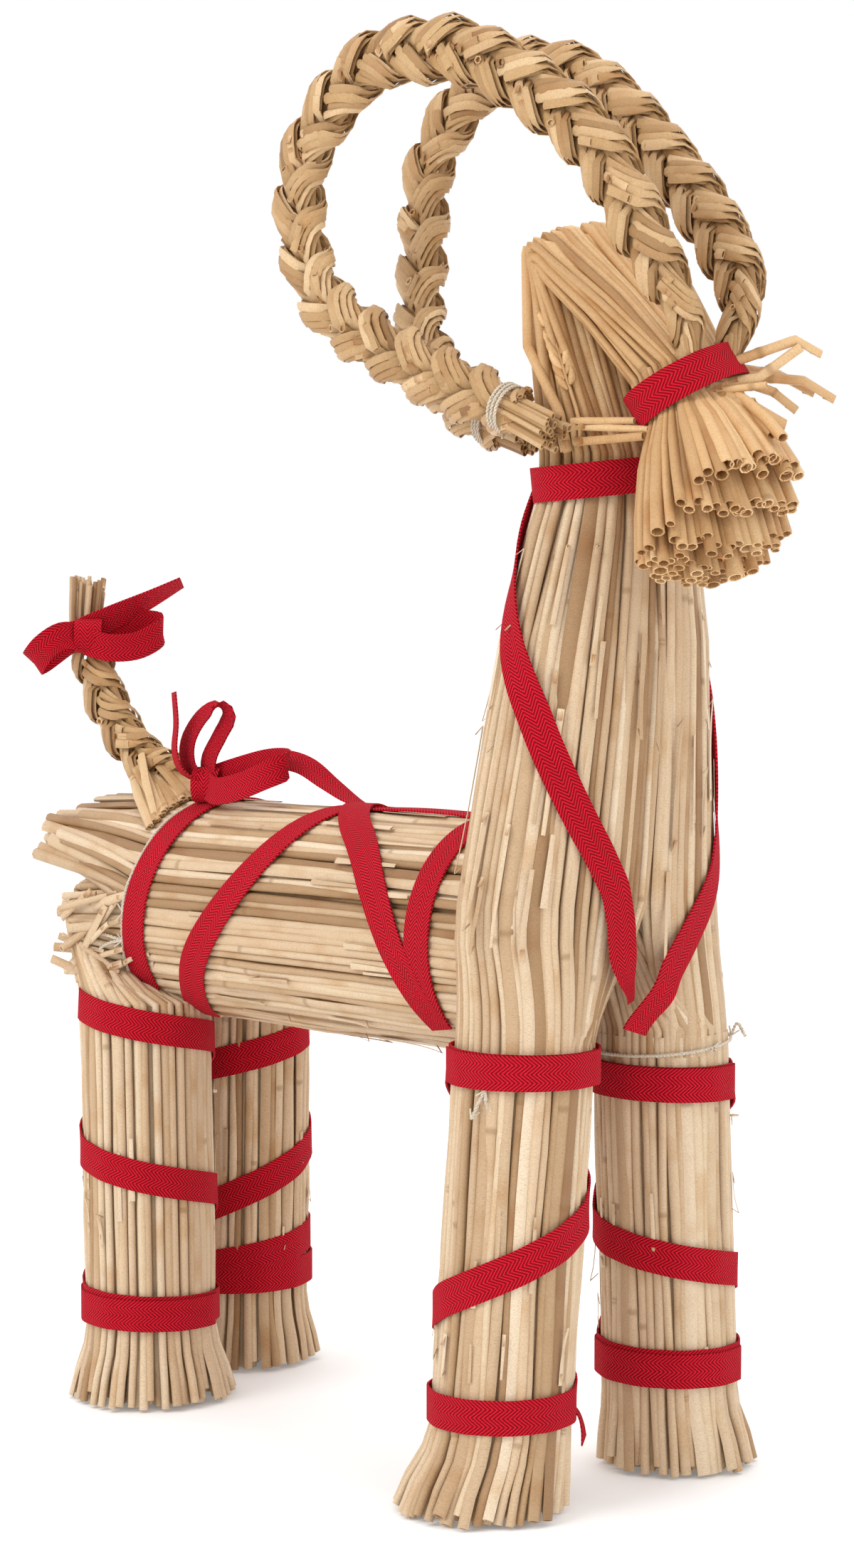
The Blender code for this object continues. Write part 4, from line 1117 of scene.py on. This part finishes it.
def tuft_stems(points, start, radius, flare, count, seed):
    """The cut ends of a plait: a short sheaf of tubes along its route, from this share of it on."""
    luck = random.Random(seed)
    guides = Guides()
    spine = smooth_route(points, 101)
    tail_end = spine[int(start * 100):]
    for k in range(count):
        reach, turn = math.sqrt((k + 0.5) / count), k * DISC_TURN + luck.uniform(-0.3, 0.3)
        route = []
        for i, point in enumerate(tail_end):
            if i % 2 and i < len(tail_end) - 1:
                continue
            wide, thick = plait_ways(way_along(tail_end, i))
            share = i / (len(tail_end) - 1)
            size = radius * (1 + flare * share) * reach
            route.append(point + wide * (size * math.cos(turn)) + thick * (size * math.sin(turn)))
        heading = (route[-1] - route[-2]).normalized()
        route[-1] = route[-1] + heading * luck.uniform(-0.004, 0.003)
        radius_here, flat = luck.uniform(0.0012, 0.0021), luck.uniform(0.1, 0.6)
        guides.add(route, radius_here, SIDEWAYS, flat, luck.uniform(0.4, 1.0))
    return guides


def tail_root_stems(seed):
    """The tail's straws where they spread over the rump and go in under its tape."""
    luck = random.Random(seed)
    guides = Guides()
    for k in range(34):
        share = (k + luck.random()) / 34
        lift = luck.uniform(0.0004, 0.0024)
        end, out = body_place(math.radians(46 + 66 * share), RUMP_TAPE_X - 0.009, lift)
        start = Vector((
            luck.uniform(-0.309, -0.298), 0.009 * (2 * share - 1), 0.3065 + luck.uniform(-0.009, 0.007),
        ))
        middle = start.lerp(end, 0.5) + out * luck.uniform(0.0, 0.003)
        wide = luck.uniform(0.0014, 0.0025)
        guides.add([start, middle, end], [wide, wide * 1.1, wide * 0.9], out, 0.45, luck.random() * 0.7)
    return guides


def twine(route, radius=0.00042, pitch=0.0034, spacing=0.0007):
    """Thin string: two strands laid round each other."""
    guides = Guides()
    length = running_length(route)[-1]
    count = max(int(length / spacing), 8)
    spine = smooth_route(route, count, 4)
    for strand in (0, 1):
        line = []
        for i, point in enumerate(spine):
            along = way_along(spine, i)
            side = along.cross(UP if abs(along.z) < 0.9 else FORWARD).normalized()
            turn = math.pi * strand + math.tau * (length * i / count) / pitch
            across = side * (radius * math.cos(turn))
            line.append(point + across + along.cross(side) * (radius * math.sin(turn)))
        guides.add(line, radius * 1.08, side, 0.0, 0.5)
    return guides


def merged(*parts):
    """Several sets of guides as one."""
    whole = Guides()
    for part in parts:
        base = len(whole.points)
        whole.points += part.points
        whole.outward += part.outward
        whole.edges += [(a + base, b + base) for a, b in part.edges]
        for label in whole.facts:
            whole.facts[label] += part.facts[label]
    return whole


def one_tape(route, outward, size=1.0, closed=False):
    """The guides of a single tape."""
    guides = Guides()
    guides.add(route, size, outward, closed=closed)
    return guides


def streamer(centre, offsets, first_width_way, last_width_way=None, steps=22, size=1.0):
    """A free length of tape through points given from its knot, with the way that its width lies."""
    last_width_way = last_width_way or first_width_way
    route = smooth_route([centre + Vector(offset) for offset in offsets], steps)
    outward = []
    for i in range(steps):
        width_way = Vector(first_width_way).lerp(Vector(last_width_way), i / (steps - 1))
        outward.append(way_along(route, i).cross(width_way).normalized())
    return one_tape(route, outward, size)


def turns_below(heights, per_turn):
    """How many turns of tape already lie under each step of the winding, eased over the steps beside."""
    count = [0] * len(heights)
    for i in range(per_turn, len(heights)):
        if abs(heights[i] - heights[i - per_turn]) < TAPE_WIDTH + 0.004:
            count[i] = count[i - per_turn] + 1
    reach = per_turn // 7
    wide = [max(count[max(i - reach, 0):i + reach + 1]) for i in range(len(count))]
    near = [wide[max(i - reach // 2, 0):i + reach // 2 + 1] for i in range(len(wide))]
    return [sum(part) / len(part) for part in near]


def leg_tape_guides(leg, seed):
    """The tape wound down a leg, through its height at every half turn, over its own earlier turns."""
    luck = random.Random(seed)
    per_turn = 56
    per_half = per_turn // 2
    passes = leg["passes"]
    start = SIDE_RIGHT if leg["turn"] < 0 else SIDE_LEFT
    heights = []
    for first, second in zip(passes, passes[1:]):
        heights += [first + (second - first) * step / per_half for step in range(per_half)]
    heights.append(passes[-1])
    lifts = turns_below(heights, per_turn)
    route, outward = [], []
    phase = luck.uniform(0, math.tau)
    for i, (height, lift) in enumerate(zip(heights, lifts)):
        angle = start + leg["turn"] * math.tau * i / per_turn
        out = level_way(angle)
        radius = leg_radius(leg, height) + TAPE_OFF_UPRIGHTS + lift * 0.0011
        radius += 0.00025 * math.sin(angle * 11 + phase)
        radius -= 0.0034 * max(1 - min(i, len(heights) - 1 - i) / 3, 0)
        route.append(leg_centre(leg, height) + out * radius)
        outward.append(out)
    return one_tape(route, outward)


def body_tape_guides(points, closed=False):
    """A tape round the barrel, through (angle in radians, x, lift) rows."""
    route, outward = [], []
    for angle, x, lift in points:
        place, out = body_place(angle, x, TAPE_OFF_BARREL + lift)
        route.append(place)
        outward.append(out)
    return one_tape(route, outward, closed=closed)


def flank_tape_guides(mirror, over):
    """The tape that rises along a flank and crosses the back, mirrored for the left one."""
    first, last = RISING_TAPE[0][0], RISING_TAPE[-1][0]
    route, outward = [], []
    steps = 90
    for i in range(steps + 1):
        degrees = first + (last - first) * i / steps
        _, x = row_at(RISING_TAPE, degrees)
        near = [row_at(RISING_TAPE, min(max(degrees + d, first), last))[1] for d in (-9, -4, 4, 9)]
        x = (x + sum(near)) / 5
        hump = math.exp(-(((degrees - 90) / 30) ** 2))
        place, out = body_place(math.radians(degrees), x, TAPE_OFF_BARREL + over * 0.0013 * hump)
        route.append(Vector((place.x, place.y * mirror, place.z)))
        outward.append(Vector((out.x, out.y * mirror, out.z)))
    return one_tape(route, outward)


def chest_tape_guides(table, tapered=False):
    """A tape down the chest, its end tucked in between the straws and, where tapered, drawn narrow."""
    rows = [(i, *row) for i, row in enumerate(table)]
    route, outward = [], []
    steps = 60
    for i in range(steps + 1):
        _, height, degrees = row_at(rows, (len(rows) - 1) * i / steps)
        place, out = chest_place(height, degrees)
        route.append(place + out * (TAPE_OFF_UPRIGHTS - 0.011 * between(0.224 - height, 0, 0.021)))
        outward.append(out)
    smooth = [route[0]]
    for i in range(1, steps):
        smooth.append((route[i - 1] + 2 * route[i] + route[i + 1]) / 4)
    smooth.append(route[-1])
    sizes = [1 - 0.72 * between(i, 47, 60) * tapered for i in range(steps + 1)]
    return one_tape(smooth, outward, sizes)


def hoop_guides(centre, wide, thick, half_width, half_thickness, clear, steps=72):
    """A closed hoop of tape round an oval."""
    route, outward = [], []
    for i in range(steps):
        along, across = math.cos(math.tau * i / steps), math.sin(math.tau * i / steps)
        out = (wide * (along / half_width) + thick * (across / half_thickness)).normalized()
        place = centre + wide * (half_width * along) + thick * (half_thickness * across)
        route.append(place + out * clear)
        outward.append(out)
    return one_tape(route, outward, closed=True)


def tape_piece(name, guides, nodes, width=TAPE_WIDTH):
    """A finished tape that stands for the named solids."""
    grow(name, guides, ribbon, red_tape, nodes, {"Width": width}, sharp=50)


def straw_piece(name, guides, nodes, finish=straw, sides=STEM_SIDES, wall=STEM_WALL):
    """A finished bundle, plait or string that stands for the named solids."""
    grow(name, guides, stems, finish, nodes, {"Stem sides": sides, "Wall": wall})


NECK_TILT = (SIDEWAYS + UP * 0.09).normalized()
SNOUT_TILT = (SIDEWAYS - SNOUT_WAY * 0.26).normalized()
BINDINGS = {
    **{leg_name: leg_tape_guides(leg, 40 + i) for i, (leg_name, leg) in enumerate(LEGS.items())},
    "neck": hoop_guides(
        Vector((CHEST_ROWS[-1][3], 0, NECK_TIE - 0.002)), NECK_TILT, (FORWARD + UP * 0.05).normalized(),
        CHEST_ROWS[-1][2] + 0.0014, CHEST_ROWS[-1][1] + 0.0010, 0.0016,
    ),
    "snout": hoop_guides(
        SNOUT_TIE, SNOUT_TILT, SNOUT_FACE, SNOUT_HALF_WIDTH + 0.0012, SNOUT_HALF_DEPTH + 0.0036, 0.0012,
    ),
    "rump": body_tape_guides([
        (turn, RUMP_TAPE_X + RUMP_TAPE_SLANT * math.sin(turn), 0.0)
        for turn in (math.tau * i / 96 - math.pi / 2 for i in range(96))
    ], closed=True),
    "shoulder": body_tape_guides([
        (-0.7 + (math.pi + 1.4) * i / 56, SHOULDER_TAPE_X, 0.0) for i in range(57)
    ]),
    "flank_right": flank_tape_guides(1, 0),
    "flank_left": flank_tape_guides(-1, 1),
    "back": body_tape_guides([(
        math.pi / 2, BACK_TAPE[0] + (BACK_TAPE[1] - BACK_TAPE[0]) * i / 12,
        0.0016 * math.sin(math.pi * i / 12) - 0.0012,
    ) for i in range(13)]),
    "chest_right": chest_tape_guides(CHEST_TAPE_RIGHT, True),
    "chest_left": chest_tape_guides(CHEST_TAPE_LEFT),
}
TAPE_LINES = np.array([point - SHIFT for part in BINDINGS.values() for point in part.points])
# The loose end of the tape at the right front foot
right_leg, left_leg = LEGS["front_leg_right"], LEGS["front_leg_left"]
loose_end_place = leg_centre(right_leg, 0.044) + FRONT_LEFT * (leg_radius(right_leg, 0.044) + 0.0012)
BINDINGS["front_leg_right"] = merged(BINDINGS["front_leg_right"], streamer(loose_end_place, (
    (-0.002, -0.003, 0.002), (0.0008, 0.0004, -0.003), (0.0016, 0.0022, -0.009), (0.0012, 0.0036, -0.0155),
), (0.75, -0.66, 0.0), (0.55, -0.83, 0.0), steps=12, size=0.72))

for seed, (leg_name, leg) in enumerate(LEGS.items(), start=20):
    made_stems = hind_leg_stems if leg["hind"] else leg_stems
    straw_piece(leg_name + "_straws", made_stems(leg, seed), [leg_name])
    tape_piece(leg_name + "_winding", BINDINGS[leg_name], [leg_name + "_tape"])

straw_piece("chest_straws", chest_stems(3), ["chest_neck_and_head"])
straw_piece("head_straws", head_stems(4), [], golden_straw, wall=0.78)
straw_piece("barrel_straws", barrel_stems(5), ["body_bundle"])
HORN_RIGHT_PATH = (
    (0.0560, -0.0090, 0.4740), (0.0630, -0.0110, 0.4870), *HORN_RIGHT_ROUTE[:-1], (0.0245, -0.0475, 0.4625),
)
HORN_LEFT_PATH = ((0.0560, 0.0100, 0.4740), (0.0630, 0.0120, 0.4870), *HORN_LEFT_ROUTE)
for side, path, seed in (("right", HORN_RIGHT_PATH, 6), ("left", HORN_LEFT_PATH, 7)):
    plait = plait_stems(
        path, 0.0136, 0.0088, period=0.074, seed=seed, narrow_start=0.34, narrow_end=0.78, until=0.965
    )
    straw_piece(f"horn_{side}_plait", plait, [f"horn_{side}"], brown_straw, 6)
    cut_end = tuft_stems(path, start=0.945, radius=0.0072, flare=0.12, count=30, seed=seed + 10)
    straw_piece(f"horn_{side}_cut_end", cut_end, [], brown_straw)
tail_plait = plait_stems(
    TAIL_ROUTE, 0.0118, 0.0094, period=0.068, seed=8, narrow_start=0.95, narrow_end=0.80, until=0.80
)
straw_piece(
    "tail_plait", merged(tail_plait, tail_root_stems(10)), ["tail"], brown_straw, 6
)
tail_cut_end = tuft_stems(TAIL_ROUTE, start=0.76, radius=0.0078, flare=0.22, count=24, seed=9)
straw_piece("tail_cut_end", tail_cut_end, [])

for label, node in (
    ("neck", "neck_tape"), ("snout", "snout_tape"), ("rump", "rump_tape"), ("shoulder", "shoulder_tape"),
    ("flank_right", "flank_tape_right"), ("flank_left", "flank_tape_left"), ("back", "back_tape"),
    ("chest_right", "chest_tape_right"), ("chest_left", "chest_tape_left"),
):
    tape_piece(label + "_binding", BINDINGS[label], [node])

# The rump's bow: two loops, two ends and the knot round them
rump_knot = body_place(math.pi / 2 - math.radians(14), RUMP_TAPE_X + RUMP_TAPE_SLANT, 0.0094)[0]
rump_bow_parts = merged(
    streamer(rump_knot, (
        (0.002, -0.003, 0.000), (0.015, -0.008, -0.002), (0.033, -0.009, 0.001), (0.049, -0.006, 0.007),
        (0.056, 0.000, 0.011), (0.051, 0.005, 0.013), (0.035, 0.007, 0.012), (0.018, 0.005, 0.008),
        (0.002, 0.001, 0.003),
    ), (0.05, 0.15, 1.0), steps=34, size=0.95),
    streamer(rump_knot, (
        (0.000, 0.003, 0.001), (0.018, 0.009, 0.009), (0.036, 0.013, 0.013), (0.053, 0.015, 0.011),
        (0.068, 0.017, 0.003), (0.082, 0.018, -0.004), (0.092, 0.018, -0.0072),
    ), (0, 0.2, 1.0), (0.1, 1.0, -0.2), steps=30, size=0.92),
    streamer(rump_knot, (
        (0.000, 0.000, 0.000), (-0.0085, -0.005, 0.009), (-0.0095, -0.005, 0.021), (-0.004, -0.001, 0.033),
        (0.0045, 0.003, 0.0385), (0.009, 0.005, 0.033), (0.0055, 0.0025, 0.024), (0.001, -0.0005, 0.013),
        (0.0, 0.0, 0.002),
    ), (0.99, -0.12, 0.0), steps=34, size=0.90),
    streamer(rump_knot, (
        (0.0, 0.0, 0.0), (-0.009, -0.0085, 0.006), (-0.0125, -0.011, 0.016), (-0.0125, -0.010, 0.030),
        (-0.0140, -0.010, 0.045),
    ), (0.905, -0.41, 0.06), (0.85, -0.50, 0.1), steps=20, size=0.80),
    hoop_guides(rump_knot, UP, Vector((0.45, -0.89, 0.0)).normalized(), 0.0080, 0.0058, 0.0003, 28),
)
tape_piece("rump_bow_tape", rump_bow_parts, ["rump_bow"], BOW_TAPE_WIDTH)

# The tail's bow: a band round the plait, two loops, an end and the knot round them
tail_line = smooth_route(TAIL_ROUTE, 16)
tail_at, tail_way = tail_line[12], way_along(tail_line, 12)
tail_knot = tail_at + FRONT_RIGHT * 0.0150
tail_bow_parts = merged(
    hoop_guides(tail_at, SIDEWAYS.cross(tail_way), SIDEWAYS, 0.0122, 0.0108, 0.0006, 40),
    streamer(tail_knot, from_the_front((
        (-0.003, 0.000, 0.003), (-0.011, 0.000, 0.008), (-0.019, -0.005, 0.009), (-0.0245, -0.011, 0.004),
        (-0.026, -0.014, -0.002), (-0.022, -0.012, -0.007), (-0.014, -0.006, -0.008), (-0.004, 0.001, -0.004),
    )), UP * 0.72 - FRONT_LEFT * 0.62 + FRONT_RIGHT * 0.25, steps=30, size=1.0),
    streamer(tail_knot, from_the_front((
        (0.001, -0.003, 0.004), (0.013, -0.006, 0.007), (0.027, -0.005, 0.006), (0.038, 0.001, 0.002),
        (0.038, 0.005, -0.004), (0.026, 0.006, -0.008), (0.010, 0.004, -0.006), (0.001, 0.002, -0.001),
    )), UP * 0.96 + FRONT_RIGHT * 0.22, steps=32, size=1.02),
    streamer(tail_knot, from_the_front((
        (0.000, 0.003, -0.001), (0.013, 0.009, -0.002), (0.032, 0.018, -0.004), (0.049, 0.027, -0.006),
    )), UP * 0.9 - FRONT_LEFT * 0.3 + FRONT_RIGHT * 0.35, UP * 0.35 + FRONT_RIGHT * 0.9, steps=18, size=1.0),
    hoop_guides(tail_knot + FRONT_LEFT * 0.002, UP, FRONT_RIGHT, 0.0078, 0.0060, 0.0004, 28),
)
tape_piece("tail_bow_tape", tail_bow_parts, ["tail_bow"], BOW_TAPE_WIDTH)


def string_piece(name, node, *routes):
    """A string laid along these routes."""
    straw_piece(name, merged(*(twine(route) for route in routes)), [node], cotton, 5, 0.9)


rump_ring = []
for i in range(73):
    turn = math.tau * i / 72
    x = RUMP_TAPE_X - TAPE_WIDTH / 2 - 0.0012 + RUMP_TAPE_SLANT * math.sin(turn)
    rump_ring.append(body_place(turn, x, 0.0009 + 0.0004 * math.sin(turn * 9))[0])
string_piece(
    "rump_twine", "rump_string", rump_ring,
    [rump_ring[-4], *(Vector(point) for point in (
        (-0.268, -0.056, 0.224), (-0.283, -0.058, 0.214), (-0.290, -0.055, 0.205),
    ))],
    [rump_ring[-4], Vector((-0.272, -0.057, 0.229)), Vector((-0.292, -0.057, 0.227))],
)
leg_ring = []
for i in range(49):
    turn = math.tau * i / 48
    height = left_leg["passes"][0] + TAPE_WIDTH / 2 + 0.006 + 0.003 * math.sin(turn)
    reach = leg_radius(left_leg, height) + 0.0010
    leg_ring.append(leg_centre(left_leg, height) + level_way(turn) * reach)
thread_foot = leg_centre(right_leg, 0.1845) + FRONT_LEFT * -0.0168 + FRONT_RIGHT * 0.0268
string_piece(
    "front_leg_twine", "front_leg_string", leg_ring,
    from_the_front(((0, 0, 0), (0.003, 0.006, 0), (0.0065, 0, 0)), leg_ring[6]),
    from_the_front(((0, 0, 0), (-0.003, -0.006, 0), (-0.006, -0.0125, 0)), thread_foot),
    from_the_front(((0, 0, 0), (0.0005, -0.006, 0), (0.0035, -0.011, 0)), thread_foot),
)
coils = []
for path in (HORN_RIGHT_PATH, HORN_LEFT_PATH):
    line = smooth_route(path, 101)
    wide, thick = plait_ways((line[96] - line[92]).normalized())
    coil = []
    for i in range(79):
        turn = math.tau * i / 26
        at = line[94].lerp(line[95], i / 79 * 1.2)
        coil.append(at + wide * (0.0105 * math.cos(turn)) + thick * (0.0098 * math.sin(turn)))
    coils.append(coil)
string_piece("horn_twine", "horn_string", *coils)


def studio():
    """The floor, the lights and the camera."""
    floor_mesh = bpy.data.meshes.new("floor")
    reach = 6.0
    floor_mesh.from_pydata(
        [(-reach, -reach, 0), (reach, -reach, 0), (reach, reach, 0), (-reach, reach, 0)], [], [(0, 1, 2, 3)]
    )
    floor = bpy.data.objects.new("floor", floor_mesh)
    floor_mesh.materials.append(floor_finish())
    bpy.context.scene.collection.objects.link(floor)
    world = bpy.data.worlds.new("studio")
    bpy.context.scene.world = world
    world.use_nodes = True
    sky = world.node_tree.nodes["Background"]
    sky.inputs["Color"].default_value = (1.0, 1.0, 1.0, 1)
    sky.inputs["Strength"].default_value = 1.0
    aim = Vector((0.0, 0.0, 0.30))
    for label, place, wide, power in (
        ("window light", (-0.3, -2.2, 2.0), 1.4, 27), ("fill light", (2.4, 0.3, 1.3), 1.6, 9),
        ("top light", (-0.4, 0.4, 2.6), 1.4, 12),
    ):
        lamp = bpy.data.lights.new(label, "AREA")
        lamp.shape = "DISK"
        lamp.size = wide
        lamp.energy = power
        made = bpy.data.objects.new(label, lamp)
        made.location = place
        made.rotation_euler = (aim - Vector(place)).to_track_quat("-Z", "Y").to_euler()
        bpy.context.scene.collection.objects.link(made)
    azimuth, pitch = math.radians(46.1), math.radians(3.5)
    level = math.cos(pitch)
    back = Vector((math.sin(azimuth) * level, -math.cos(azimuth) * level, math.sin(pitch)))
    lens = bpy.data.cameras.new("camera")
    lens.sensor_width = 36
    lens.sensor_fit = "AUTO"
    lens.lens = 77.4
    camera = bpy.data.objects.new("camera", lens)
    camera.location = Vector((1.0143, -1.0739, 0.4016)) + SHIFT
    camera.rotation_euler = (-back).to_track_quat("-Z", "Y").to_euler()
    bpy.context.scene.collection.objects.link(camera)
    bpy.context.scene.camera = camera
    bpy.context.scene.view_settings.view_transform = "Standard"


studio()
